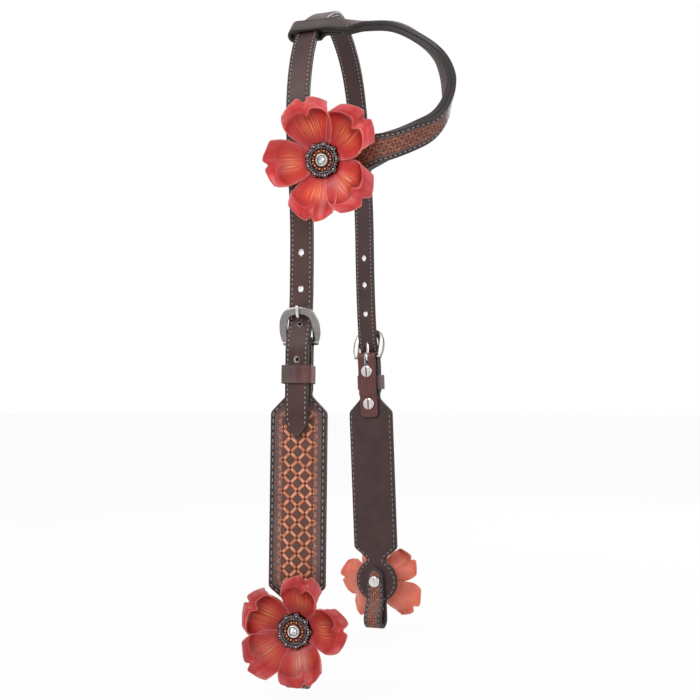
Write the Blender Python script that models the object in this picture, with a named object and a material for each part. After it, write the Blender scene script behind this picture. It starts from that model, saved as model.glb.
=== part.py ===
"""One-ear western headstall: a doubled crown strap, a slide-on ear piece and two buckled cheeks.

Metres, +Z up, +X to the horse's front, -Y to its near side. The origin is on the crown's underside
at the poll, which carries everything. Each cheek is built in its own frame, whose origin is on its
buckle's bar: x across the strap, y outward from the horse, z up.
"""
import math

import bmesh
import bpy
import numpy as np
from mathutils import Euler, Matrix, Vector

# Driving dimensions
HEAD_WIDTH = 0.186
CROWN_DROP = 0.245
EAR_REACH = 0.099
CHEEK_WIDTH = 0.039
BIT_LOOP_DROP = 0.2225
FIT = 0.0003

# How the two cheeks hang
NEAR_BAR_SHARE = -0.4973
FAR_BAR_SHARE = 0.5027
NEAR_TURN = math.radians(180.0)
FAR_TURN = math.radians(-10.0)
LEAN = math.radians(2.3)
FAR_SWING = math.radians(-1.25)

# Crown strap
CROWN_WIDTH = 0.0160
CROWN_FACE = 0.0018
CROWN_LINING = 0.0015
CROWN_TIP_LENGTH = 0.0115
CROWN_TIP_WIDTH = 0.0032
CROWN_TIP_SHARES = ((0.0, 0.0), (0.17, 0.26), (0.43, 0.62), (0.70, 0.87), (1.0, 1.0))
CROWN_ROUTE_SHARES = (
    (-0.492, -0.612), (-0.522, -0.469), (-0.527, -0.359), (-0.487, -0.229), (-0.387, -0.114),
    (-0.242, -0.037), (-0.073, 0.010), (0.081, -0.014), (0.226, -0.078), (0.323, -0.184),
    (0.393, -0.327), (0.452, -0.510), (0.474, -0.694))
CROWN_STEP = 0.0160
CROWN_END_STEP = 0.0085
HOLE_PITCH = 0.0246
HOLE_TO_TIP = 0.0500
HOLE_RADIUS = 0.00175
HOLE_COUNT = 4
HOLE_SIDES = 10
NEAR_HOLE = 1
FAR_HOLE = 0

# Cheek leather
CHEEK_FACE = 0.0020
CHEEK_LINING = 0.0016
CHEEK_SKIVE = 0.0001
CHAPE_TAIL = 0.0016
FOLD_WIDTH = 0.0164
NECK_WIDTH = 0.0175
NECK_START = 0.0080
SHOULDER_TOP = 0.0356
SHOULDER_CORNER = 0.0465
FLARE_ABOVE_LOOP = 0.0315
FLARE_RADIUS = 0.0185
LOWER_NECK_ABOVE_FLARE = 0.0190
LOWER_CORNER_ABOVE_FLARE = 0.0280
LOWER_NECK_WIDTH = 0.0160
FLARE_CENTRE = BIT_LOOP_DROP - FLARE_ABOVE_LOOP
LOWER_NECK = FLARE_CENTRE - LOWER_NECK_ABOVE_FLARE
LOWER_CORNER = FLARE_CENTRE - LOWER_CORNER_ABOVE_FLARE
BIT_STRAP_WIDTH = 0.0155
CHAPE_END = 0.0510
CHAPE_TAIL_WIDTH = 0.0162
CHAPE_CORNER = 0.0030
LINING_TOP = 0.0023
BIT_TIP_ABOVE_FLARE = 0.0123
BIT_TIP = FLARE_CENTRE - BIT_TIP_ABOVE_FLARE
BIT_TIP_TAPER = 0.0080
BIT_TIP_WIDTH = 0.0030
BIT_TAIL_FACE = 0.0018
BIT_TAIL_LINING = 0.0013
BIT_LOOP_BORE = 0.0040
BIT_LOOP_CLOSE = 0.0195
SLOT_WIDTH = 0.0034
SLOT_BOTTOM = 0.0065
SLOT_TOP = 0.0060

# Buckle
BAR_RADIUS = 0.00165
BUCKLE_INNER = 0.0173
BUCKLE_BAND = 0.0056
BUCKLE_THICKNESS = 0.0026
BUCKLE_FOOT = 0.0017
BUCKLE_RISE = 0.0208
BUCKLE_SPRING_SHARE = 0.36
BUCKLE_FOOT_SHARE = 0.78
BUCKLE_ARCH_POWER = 2.8
BUCKLE_EDGE_SHARE = 0.5
BUCKLE_FLAT_SHARE = 0.56
BUCKLE_TILT = math.radians(18.0)
TONGUE_RADIUS = 0.0011
TONGUE_EYE_CLEARANCE = 0.00015
TONGUE_HOLE = 0.0118
TONGUE_PAST_BAND = 0.0032
TONGUE_ROOM = 0.00035
TONGUE_STEPS = 12
FRAME_PLAY = math.radians(2.0)
TONGUE_PLAY = math.radians(3.0)

# Keeper
KEEPER = 0.0014
KEEPER_TOP = 0.0155
KEEPER_HEIGHT = 0.0123
KEEPER_CORNER = 0.0016
KEEPER_DROP = 0.0030

# Chicago screws
UPPER_SCREW = 0.0121
LOWER_SCREW = 0.0396
POST_HEAD = 0.0010
POST_HEAD_RADIUS = 0.0049
POST_RADIUS = 0.0025
POST_BORE = 0.0017
SCREW_HEAD = 0.0012
SCREW_RADIUS = 0.0014
SCREW_SLOT_WIDTH = 0.0011
SCREW_SLOT_DEPTH = 0.0006
SCREW_DOME_SHARE = 0.72
SCREW_SIDES = 12
HEAD_EDGE_SHARE = 0.55

# Ear piece
EAR_FACE = 0.0030
EAR_LINING = 0.0034
EAR_WRAP = 0.0022
EAR_WRAP_LINING = 0.0016
EAR_WRAP_ROOM = 0.0009
EAR_WRAP_PAST = 0.0010
EAR_WIDTH = 0.0150
EAR_POLL_WIDTH = 0.0140
EAR_TOOLED_WIDTH = 0.0245
EAR_LOW_SHARE = -0.5086
EAR_TOP_SHARE = -0.1143
EAR_JOIN = 0.0040
EAR_LOW_RETURN = 0.0200
EAR_TOP_RETURN = 0.0120
EAR_GROW = 0.0040
EAR_LINING_PAST = 0.0020
EAR_CONCHO_OUT = 0.0183
EAR_TAPER_SHARES = (0.10, 0.30)
EAR_STATIONS = 56
EAR_ROUTE_SHARES = (
    (0.548, -0.554, -0.4955), (0.680, -0.543, -0.4792), (0.812, -0.527, -0.4571),
    (0.923, -0.505, -0.4261), (0.994, -0.484, -0.3722), (0.999, -0.457, -0.3106),
    (0.916, -0.425, -0.2273), (0.761, -0.392, -0.1633), (0.586, -0.355, -0.1171),
    (0.362, -0.318, -0.0960), (0.240, -0.342, -0.0990))
EAR_ACROSS = (
    (0.0, -0.05, 1.0), (-0.10, -0.47, 0.88), (-0.25, -0.60, 0.75), (0.0, -0.90, 0.35),
    (0.20, -0.97, 0.10), (0.40, -0.92, 0.0), (0.30, -0.88, -0.30), (0.15, -0.93, -0.33),
    (0.0, -0.94, -0.34), (0.0, -0.93, -0.36), (0.0, -0.82, -0.57))

# Flowers
FLOWER_LEATHER = 0.0014
FLOWER_BORE = 0.0031
FLOWER_DISC = 0.0128
PETAL_LENGTH = 0.0400
PETAL_WIDTH = 0.0335
PETAL_RISE = 0.0125
PETAL_CUP = 0.0055
PETAL_ROWS = 6
PETAL_COLUMNS = 6
PETAL_ROW_SHARES = (0.0, 0.14, 0.32, 0.52, 0.72, 0.88, 1.0)
PETAL_WIDTH_SHARES = (0.45, 0.60, 0.80, 0.95, 1.0, 0.90, 0.66)
PETAL_RISE_SHARES = (0.0, 0.18, 0.46, 0.76, 0.98, 1.04, 0.96)
PETAL_CUP_SHARES = (0.0, 0.30, 0.75, 1.0, 0.85, 0.45, 0.10)
PETAL_EDGE_SHARE = 0.15
PETAL_NOTCH_SHARE = 0.07
PETAL_NOTCH_SPREAD_SHARE = 0.25
UPPER_PETALS = ((108.0, 1.0), (43.0, 1.0), (-38.0, 0.98), (-101.0, 1.03), (180.0, 0.95))
NEAR_PETALS = ((73.0, 0.93), (2.0, 0.90), (-76.0, 0.95), (-138.0, 0.97), (147.0, 0.93))
FAR_PETALS = ((75.0, 0.92), (-5.0, 0.90), (-50.0, 0.94), (-145.0, 0.97), (145.0, 0.93))

# Conchos and stones
CONCHO_RADIUS = 0.0125
CONCHO_LOBES = 9
CONCHO_LOBE_STEPS = 3
CONCHO_VALLEY_SHARE = 0.94
CONCHO_VALLEY_DROP_SHARE = 0.72
CONCHO_HEIGHT = 0.0032
CONCHO_RIM_SHARES = ((1.0, 0.25), (0.95, 0.55), (0.84, 1.0), (0.69, 0.55))
CONCHO_DISH_SHARES = ((0.61, 0.80), (0.51, 0.56), (0.36, 0.80))
CONCHO_POST_RADIUS = 0.0028
CONCHO_POST_BORE = 0.0021
CONCHO_WEB = 0.0010
BEZEL_RADIUS = 0.00385
BEZEL_TOP = 0.0038
BEZEL_EDGE = 0.00305
STONE_SEAT = 0.0020
STONE_HEIGHT = 0.0026
STONE_TABLE_SHARE = 0.58
STONE_FOOT_SHARE = 0.55
STONE_GIRDLE_SHARE = 0.40
STONE_SIDES = 8
BIT_SCREW_HEAD = 0.0014
BIT_SCREW_HEAD_RADIUS = 0.0048
BIT_SCREW_RADIUS = 0.0018

# Overrun of every cutter past what it cuts
OVERRUN = 0.0020

# Shapes of the swept sections, for half a width and half a depth of one
SQUARE = np.array(((-1, -1), (1, -1), (1, 1), (-1, 1)), float)
ROUND_SIDES = 7
FOLD_STEPS = 12
FOLD_RISE_SHARE = 0.125
ARCH_STEPS = 20


def derive():
    """Sizes and places that follow from the driving dimensions, by name."""
    size = {}
    crown = CROWN_FACE + FIT + CROWN_LINING
    size["crown_half"] = crown / 2
    size["fold_inner"] = BAR_RADIUS + FIT
    size["face_front"] = size["fold_inner"] + CHEEK_FACE
    size["face_y"] = size["fold_inner"] + CHEEK_FACE / 2
    size["lining_front"] = size["fold_inner"] - FIT
    size["lining_y"] = size["lining_front"] - CHEEK_LINING / 2
    size["lining_back"] = size["lining_front"] - CHEEK_LINING
    size["keeper_back"] = size["lining_back"] - FIT - KEEPER
    size["tail_high"] = size["keeper_back"] - FIT - CHAPE_TAIL / 2
    size["tail_low"] = size["lining_back"] - FIT - CHAPE_TAIL / 2
    size["post_seat"] = size["face_front"] + FIT
    size["crown_flat"] = size["face_front"] + FIT + crown / 2
    size["crown_rest"] = size["post_seat"] + POST_HEAD + FIT + crown / 2
    size["crown_bar"] = size["face_front"] + POST_HEAD + crown / 2
    size["keeper_front"] = size["crown_rest"] + crown / 2 + FIT
    size["flower_seat"] = size["face_front"] + FIT
    size["bit_lining_y"] = size["lining_back"] - FIT - BIT_TAIL_LINING / 2
    size["bit_face_y"] = size["bit_lining_y"] - BIT_TAIL_LINING / 2 - FIT - BIT_TAIL_FACE / 2
    size["bit_back"] = size["bit_face_y"] - BIT_TAIL_FACE / 2
    size["loop_y"] = size["lining_back"] - BIT_LOOP_BORE
    spring = BUCKLE_RISE * BUCKLE_SPRING_SHARE
    rise = (BUCKLE_RISE - BUCKLE_BAND / 2) / math.cos(BUCKLE_TILT) - spring
    edge = min(CROWN_WIDTH / BUCKLE_INNER, 1.0) ** BUCKLE_ARCH_POWER
    corner = spring + rise * (1 - edge) ** (1 / BUCKLE_ARCH_POWER) - POST_HEAD
    size["arch_corner"] = corner * math.cos(BUCKLE_TILT)
    under = BUCKLE_THICKNESS * BUCKLE_EDGE_SHARE / 2 / math.cos(BUCKLE_TILT)
    size["crown_corner"] = corner * math.sin(BUCKLE_TILT) - under - FIT - crown / 2
    size["wrap"] = crown / 2 + EAR_WRAP_ROOM + EAR_WRAP / 2
    size["ear_stack"] = EAR_WRAP + FIT + EAR_WRAP_LINING + FIT + EAR_WRAP
    size["ear_lift"] = size["wrap"] + EAR_WRAP / 2 - size["ear_stack"] / 2
    size["ear_loop"] = EAR_FACE + FIT + EAR_LINING
    return size


SIZE = derive()


def glide(at, knots, values):
    """Smooth curve through the knots that never overshoots between two of them."""
    at = np.atleast_1d(np.asarray(at, float))
    knots = np.asarray(knots, float)
    values = np.asarray(values, float)
    steps = np.diff(knots)
    slopes = np.diff(values) / steps
    tangents = np.zeros(len(knots))
    same_way = slopes[:-1] * slopes[1:] > 0
    before = 2 * steps[1:] + steps[:-1]
    after = steps[1:] + 2 * steps[:-1]
    safe_low = np.where(same_way, slopes[:-1], 1)
    safe_high = np.where(same_way, slopes[1:], 1)
    mean = (before + after) / (before / safe_low + after / safe_high)
    tangents[1:-1] = np.where(same_way, mean, 0)
    part = np.clip(np.searchsorted(knots, at, side="right") - 1, 0, len(steps) - 1)
    local = np.clip((at - knots[part]) / steps[part], 0, 1)
    rise = local * local * (3 - 2 * local)
    lead = local * (1 - local) ** 2 * steps[part] * tangents[part]
    trail = -local * local * (1 - local) * steps[part] * tangents[part + 1]
    return values[part] * (1 - rise) + values[part + 1] * rise + lead + trail


def lengths(points):
    """Distance along a row of points, from its first."""
    steps = np.linalg.norm(np.diff(points, axis=0), axis=1)
    return np.concatenate(([0.0], np.cumsum(steps)))


def spline(points, at):
    """Natural cubic curve through points, read at distances along them."""
    knots = lengths(points)
    gaps = np.diff(knots)
    count = len(points)
    matrix = np.eye(count)
    right = np.zeros_like(points)
    for row in range(1, count - 1):
        matrix[row, row - 1:row + 2] = gaps[row - 1], 2 * (gaps[row - 1] + gaps[row]), gaps[row]
        before = (points[row] - points[row - 1]) / gaps[row - 1]
        after = (points[row + 1] - points[row]) / gaps[row]
        right[row] = 6 * (after - before)
    bends = np.linalg.solve(matrix, right)
    part = np.clip(np.searchsorted(knots, at, side="right") - 1, 0, count - 2)
    gap = gaps[part][:, None]
    low = ((knots[part + 1] - at) / gaps[part])[:, None]
    high = 1 - low
    curve = low * points[part] + high * points[part + 1]
    bend = (low ** 3 - low) * bends[part] + (high ** 3 - high) * bends[part + 1]
    return curve + bend * gap ** 2 / 6


def unit(vectors):
    return vectors / np.linalg.norm(vectors, axis=-1, keepdims=True)


def material(name, colour, roughness, metallic):
    made = bpy.data.materials.new(name)
    made.use_nodes = True
    shader = made.node_tree.nodes["Principled BSDF"]
    shader.inputs["Base Color"].default_value = (*colour, 1.0)
    shader.inputs["Roughness"].default_value = roughness
    shader.inputs["Metallic"].default_value = metallic
    return made


DARK = ((0.055, 0.026, 0.020), 0.50, 0.0)
INSIDE = ((0.070, 0.032, 0.025), 0.70, 0.0)
TOOLED = ((0.330, 0.125, 0.045), 0.45, 0.0)
RED = ((0.420, 0.022, 0.018), 0.40, 0.0)
NICKEL = ((0.620, 0.610, 0.590), 0.22, 1.0)
GUNMETAL = ((0.110, 0.085, 0.080), 0.35, 1.0)
STONE = ((0.930, 0.950, 0.970), 0.03, 0.0)


def add(name, mesh, finish, parent=None, place=(0, 0, 0), turn=None, smooth=None):
    """Object of one mesh with its own material, hung on a parent."""
    body = bpy.data.objects.new(name, mesh)
    bpy.context.scene.collection.objects.link(body)
    mesh.materials.append(material(name, *finish))
    if smooth is not None:
        mesh.shade_smooth()
        mesh.set_sharp_from_angle(angle=smooth)
    body.parent = parent
    body.location = place
    if turn is not None:
        body.rotation_euler = turn
    return body


def closed(name, points, faces):
    """Mesh with every face turned outward."""
    mesh = bpy.data.meshes.new(name)
    mesh.from_pydata([tuple(point) for point in np.asarray(points)], [], faces)
    shape = bmesh.new()
    shape.from_mesh(mesh)
    bmesh.ops.recalc_face_normals(shape, faces=shape.faces)
    shape.to_mesh(mesh)
    shape.free()
    return mesh


def loft(name, rings, ends=True, split=False):
    """Skin over equal rings of points, capped at both ends or joined into a loop.

    A split skin has each quad cut the same way on both sides of a strap, so twisted layers stay apart.
    """
    rings = np.asarray(rings)
    count, around = rings.shape[:2]
    faces = []
    for ring in range(count if not ends else count - 1):
        here = ring * around
        there = (ring + 1) % count * around
        for side in range(around):
            after = (side + 1) % around
            corners = (here + side, here + after, there + after, there + side)
            if 2 * side >= around:
                corners = corners[1:] + corners[:1]
            faces += [corners[:3], (corners[0], *corners[2:])] if split else [corners]
    if ends:
        faces.append(tuple(range(around)))
        faces.append(tuple(range((count - 1) * around, count * around)))
    return closed(name, rings.reshape(-1, 3), faces)


def rings_along(centres, across, half_widths, half_depths, profile=SQUARE, depth=None):
    """Sections of a strap or a wire: the profile laid across the route at each station."""
    centres = np.asarray(centres, float)
    across = np.broadcast_to(np.asarray(across, float), centres.shape)
    if depth is None:
        forward = unit(np.gradient(centres, axis=0))
        depth = unit(np.cross(forward, across))
        across = unit(np.cross(depth, forward))
    wide = np.broadcast_to(half_widths, len(centres))[:, None, None] * across[:, None, :]
    deep = np.broadcast_to(half_depths, len(centres))[:, None, None] * depth[:, None, :]
    return centres[:, None, :] + profile[None, :, :1] * wide + profile[None, :, 1:] * deep


def circle(sides, turn=0.0):
    angles = np.arange(sides) * 2 * np.pi / sides + turn
    return np.column_stack((np.cos(angles), np.sin(angles)))


def lathe(name, profile, sides, reach=None):
    """Turned shape about z from (radius, height) points that begin and end on the axis."""
    angles = np.arange(sides) * 2 * np.pi / sides
    points = [(0.0, 0.0, profile[0][1]), (0.0, 0.0, profile[-1][1])]
    for row, (radius, height) in enumerate(profile[1:-1]):
        for side, angle in enumerate(angles):
            wide, high = (1.0, 1.0) if reach is None else reach(row, side)
            points.append((radius * wide * np.cos(angle), radius * wide * np.sin(angle), height * high))
    rows = len(profile) - 2
    faces = []
    for side in range(sides):
        after = (side + 1) % sides
        faces.append((0, 2 + side, 2 + after))
        last = 2 + (rows - 1) * sides
        faces.append((1, last + after, last + side))
        for row in range(rows - 1):
            here = 2 + row * sides
            there = here + sides
            faces.append((here + side, there + side, there + after, here + after))
    return closed(name, points, faces)


def cutter(name, mesh, parent, place=(0, 0, 0)):
    tool = bpy.data.objects.new(name, mesh)
    bpy.context.scene.collection.objects.link(tool)
    tool.parent = parent
    tool.location = place
    tool.hide_render = True
    tool.display_type = "WIRE"
    return tool


def cut(body, tool, operation="DIFFERENCE"):
    change = body.modifiers.new(tool.name, "BOOLEAN")
    change.operation = operation
    change.solver = "EXACT"
    change.object = tool


def box(name, low, high):
    low = np.asarray(low, float)
    high = np.asarray(high, float)
    corners = np.array([[x, y, z] for z in (0, 1) for x, y in ((0, 0), (1, 0), (1, 1), (0, 1))])
    faces = [(0, 1, 2, 3), (4, 5, 6, 7), (0, 1, 5, 4), (1, 2, 6, 5), (2, 3, 7, 6), (3, 0, 4, 7)]
    return closed(name, low + corners * (high - low), faces)


def rod(name, start, end, radius, sides=SCREW_SIDES):
    """Plain round bar between two points."""
    start = np.asarray(start, float)
    end = np.asarray(end, float)
    along = end - start
    side = (1, 0, 0) if abs(along[0]) < np.linalg.norm(along) / 2 else (0, 0, 1)
    rings = rings_along((start, end), side, radius, radius, circle(sides))
    return loft(name, rings)


def merged(name, meshes):
    """One mesh of several shapes that stay apart, for a cutter."""
    shape = bmesh.new()
    for mesh in meshes:
        shape.from_mesh(mesh)
    whole = bpy.data.meshes.new(name)
    shape.to_mesh(whole)
    shape.free()
    return whole


def empty(name, place, turn=(0, 0, 0)):
    hook = bpy.data.objects.new(name, None)
    bpy.context.scene.collection.objects.link(hook)
    hook.location = place
    hook.rotation_euler = turn
    return hook


def side_turn(turn, swing):
    """Rotation of a cheek: turned about the head, leaning out and swung forward."""
    return Euler((0, 0, turn)).to_matrix() @ Euler((LEAN, swing, 0)).to_matrix()


def side_to_world(side, points):
    """Points of a cheek's frame in the headstall's frame."""
    turn = np.array(side["turn"])
    return np.asarray(points, float) @ turn.T + np.array(side["place"])


NEAR = {"name": "near", "place": (0.0, NEAR_BAR_SHARE * HEAD_WIDTH, -CROWN_DROP),
        "turn": side_turn(NEAR_TURN, 0.0), "hole": NEAR_HOLE, "petals": NEAR_PETALS}
FAR = {"name": "far", "place": (0.0, FAR_BAR_SHARE * HEAD_WIDTH, -CROWN_DROP),
       "turn": side_turn(FAR_TURN, FAR_SWING), "hole": FAR_HOLE, "petals": FAR_PETALS}


def crown_depth(height):
    """How far out the crown's middle lies from the bar, at a height in a cheek's frame."""
    post_low = -LOWER_SCREW - POST_HEAD_RADIUS
    post_high = -UPPER_SCREW + POST_HEAD_RADIUS
    knots = (post_low - 2 * POST_HEAD_RADIUS, post_low - FIT, post_high + FIT, 0.0,
             SIZE["arch_corner"], 2 * BUCKLE_RISE)
    values = (SIZE["crown_flat"], SIZE["crown_rest"], SIZE["crown_rest"], SIZE["crown_bar"],
              SIZE["crown_corner"], 0.0)
    return glide(height, knots, values)


def crown_tip(side):
    """Height of the crown's tip in a cheek's frame."""
    return TONGUE_HOLE - HOLE_TO_TIP - side["hole"] * HOLE_PITCH


def crown_end(side):
    """Points of the crown in a cheek's frame, from its tip up past the buckle."""
    heights = np.arange(crown_tip(side), 2 * BUCKLE_RISE + CROWN_END_STEP, CROWN_END_STEP)
    depths = crown_depth(heights)
    return np.column_stack((np.zeros_like(heights), depths, heights))


def crown_route():
    """Middle line of the crown with its underside at the poll on the origin."""
    near = side_to_world(NEAR, crown_end(NEAR))
    far = side_to_world(FAR, crown_end(FAR))[::-1]
    share = np.array(CROWN_ROUTE_SHARES)
    drift = np.linspace(near[-1, 0], far[0, 0], len(share) + 2)[1:-1]
    arch = np.column_stack((drift, share[:, 0] * HEAD_WIDTH, share[:, 1] * CROWN_DROP))
    for _ in range(2):
        points = np.concatenate((near, arch, far))
        fine = spline(points, np.linspace(0.0, lengths(points)[-1], 50 * len(points)))
        upper = fine[fine[:, 2] > -CROWN_DROP / 3]
        poll = np.interp(0.0, upper[:, 1], upper[:, 2])
        arch[3:-3, 2] -= poll - SIZE["crown_half"]
    return np.concatenate((near, arch, far)), len(near), len(far)


def crown_stations():
    """Stations along the crown: centres, directions across it and half widths."""
    points, near_count, far_count = crown_route()
    knots = lengths(points)
    tip = np.array(CROWN_TIP_SHARES)[:, 0] * CROWN_TIP_LENGTH
    near_end = np.arange(CROWN_TIP_LENGTH, knots[near_count - 1], CROWN_END_STEP)[1:]
    far_start = knots[-1] - knots[-far_count]
    far_end = np.arange(CROWN_TIP_LENGTH, far_start, CROWN_END_STEP)[1:]
    arch_count = int((knots[-far_count] - knots[near_count - 1]) / CROWN_STEP)
    arch = np.linspace(knots[near_count - 1], knots[-far_count], arch_count + 1)
    at = np.concatenate((tip, near_end, arch, knots[-1] - far_end[::-1], knots[-1] - tip[::-1]))
    at = np.unique(np.round(at, 7))
    share = glide(at, (0.0, knots[near_count - 1], knots[-far_count], knots[-1]), (0.0, 0.0, 1.0, 1.0))
    near_across = side_to_world(NEAR, ((1, 0, 0),)) - np.array(NEAR["place"])
    far_across = side_to_world(FAR, ((-1, 0, 0),)) - np.array(FAR["place"])
    across = unit(near_across * (1 - share[:, None]) + far_across * share[:, None])
    taper = np.array(CROWN_TIP_SHARES)
    from_tip = np.minimum(at, knots[-1] - at)
    grow = np.interp(from_tip, taper[:, 0] * CROWN_TIP_LENGTH, taper[:, 1])
    half = (CROWN_TIP_WIDTH + (CROWN_WIDTH - CROWN_TIP_WIDTH) * grow) / 2
    return spline(points, at), across, half


def normals(centres, across):
    return unit(np.cross(unit(np.gradient(centres, axis=0)), across))


def tongue_route():
    """Middle line of the tongue's stem: from its eye through the crown's hole onto the band."""
    eye = BAR_RADIUS + TONGUE_EYE_CLEARANCE + TONGUE_RADIUS
    lift = BUCKLE_THICKNESS / 2 / math.cos(BUCKLE_TILT) + FIT + TONGUE_RADIUS
    low = BUCKLE_RISE - BUCKLE_BAND / 2
    low_rest = math.tan(BUCKLE_TILT) * low + lift + (1 - BUCKLE_EDGE_SHARE) * FIT
    top = BUCKLE_RISE + BUCKLE_BAND * BUCKLE_FLAT_SHARE / 2
    rest = math.tan(BUCKLE_TILT) * top + lift
    tip = BUCKLE_RISE + TONGUE_PAST_BAND
    hole = float(crown_depth(TONGUE_HOLE)[0])
    heights = np.linspace(eye, tip, TONGUE_STEPS)
    depths = glide(heights, (eye, TONGUE_HOLE, low, top, tip), (0.0, hole, low_rest, rest, rest + FIT))
    return np.column_stack((np.zeros_like(heights), depths, heights))


def build_crown(hooks):
    centres, across, half = crown_stations()
    out = normals(centres, across)
    face = centres + out * (SIZE["crown_half"] - CROWN_FACE / 2)
    lining = centres - out * (SIZE["crown_half"] - CROWN_LINING / 2)
    pieces = []
    for name, middle, thickness, finish in (
            ("crown_face", face, CROWN_FACE, DARK), ("crown_lining", lining, CROWN_LINING, INSIDE)):
        mesh = loft(name, rings_along(middle, across, half, thickness / 2))
        pieces.append(add(name, mesh, finish))
    for side in (NEAR, FAR):
        tool = crown_holes(side, centres, out, hooks[side["name"]])
        for piece in pieces:
            cut(piece, tool)


def crown_holes(side, centres, out, hook):
    """The punched holes of one end, the one in use opened for the tongue's swing."""
    to_side = np.array(side["turn"])
    local = (centres - np.array(side["place"])) @ to_side
    local_out = out @ to_side
    order = np.argsort(local[:, 2])
    on_side = order[np.abs(local[order, 1]) < HEAD_WIDTH / 4]
    local = local[on_side]
    local_out = local_out[on_side]
    along = lengths(local)
    start = np.interp(TONGUE_HOLE, local[:, 2], along)
    holes = []
    reach = SIZE["crown_half"] + OVERRUN
    for count in range(HOLE_COUNT):
        if count == side["hole"]:
            continue
        at = start + (count - side["hole"]) * HOLE_PITCH
        middle = np.array([np.interp(at, along, local[:, axis]) for axis in range(3)])
        facing = np.array([np.interp(at, along, local_out[:, axis]) for axis in range(3)])
        ends = middle - facing * reach, middle + facing * reach
        holes.append(rod("hole", ends[0], ends[1], HOLE_RADIUS, HOLE_SIDES))
    stem = tongue_route()
    near_hole = np.abs(stem[:, 2] - TONGUE_HOLE) < 2 * SIZE["crown_half"] + 2 * OVERRUN
    stem = stem[near_hole]
    swing = np.linalg.norm(stem, axis=1) * (FRAME_PLAY + TONGUE_PLAY)
    forward = unit(np.gradient(stem, axis=0))
    outward = unit(np.cross(forward, (1, 0, 0)))
    outward *= np.sign(outward[:, 1:2])
    middle = stem + outward * swing[:, None] / 2
    room = TONGUE_RADIUS + TONGUE_ROOM
    rings = rings_along(middle, (1, 0, 0), room, room + swing / 2, circle(HOLE_SIDES))
    holes.append(loft("slot", rings))
    return cutter(side["name"] + "_holes", merged(side["name"] + "_holes", holes), hook)


def cheek_half_width(drop):
    """Half the width of the cheek's front at a distance below the bar."""
    knots = (0.0, NECK_START, SHOULDER_TOP, SHOULDER_CORNER, LOWER_CORNER, LOWER_NECK, FLARE_CENTRE)
    widths = (FOLD_WIDTH, NECK_WIDTH, NECK_WIDTH, CHEEK_WIDTH, CHEEK_WIDTH, LOWER_NECK_WIDTH,
              BIT_STRAP_WIDTH)
    straight = np.interp(drop, knots, widths) / 2
    flare = np.sqrt(np.maximum(FLARE_RADIUS ** 2 - (drop - FLARE_CENTRE) ** 2, 0.0))
    return np.maximum(straight, flare)


def front_drops(top):
    """Stations down the cheek's front: its corners, and the flare's round."""
    knee = math.acos(BIT_STRAP_WIDTH / 2 / FLARE_RADIUS)
    round_part = FLARE_CENTRE - FLARE_RADIUS * np.sin(np.linspace(knee, -knee, FOLD_STEPS))
    corners = (top, NECK_START, SLOT_BOTTOM, SHOULDER_TOP, SHOULDER_CORNER, CHAPE_END,
               CHAPE_END + CHAPE_CORNER, LOWER_CORNER - CHAPE_CORNER, LOWER_CORNER, LOWER_NECK)
    return np.unique(np.concatenate((corners, round_part, (BIT_LOOP_DROP,))))


def bit_loop(radius, back_y, thickness, back_thickness, spread):
    """Bit strap below the flare: round the loop and up to the tip, as y, z, half width, half depth."""
    middle = SIZE["loop_y"]
    angles = np.linspace(0.0, np.pi, FOLD_STEPS)[1:]
    turn = np.column_stack((middle + radius * np.cos(angles), -BIT_LOOP_DROP - radius * np.sin(angles)))
    close = np.linspace(0.0, 1.0, FOLD_STEPS // 2 + 1)[1:]
    close_y = glide(close, (0.0, 1.0), (middle - radius, back_y))
    tail = np.column_stack((close_y, -BIT_LOOP_DROP + BIT_LOOP_CLOSE * close))
    taper = np.array((0.0, 0.5, 0.8, 1.0))
    tip_z = -BIT_TIP - BIT_TIP_TAPER * (1 - taper)
    tip = np.column_stack((np.full(len(taper), back_y), tip_z))
    route = np.concatenate((turn, tail, tip))
    narrow = (BIT_STRAP_WIDTH + (BIT_TIP_WIDTH - BIT_STRAP_WIDTH) * taper ** 2) / 2
    half = np.concatenate((np.full(len(turn) + len(tail), BIT_STRAP_WIDTH / 2), narrow))
    share = np.concatenate((np.zeros(len(turn)), close, np.ones(len(taper))))
    deep = (thickness + (back_thickness - thickness) * share) / 2
    return np.column_stack((route, half - spread, deep))


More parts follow.
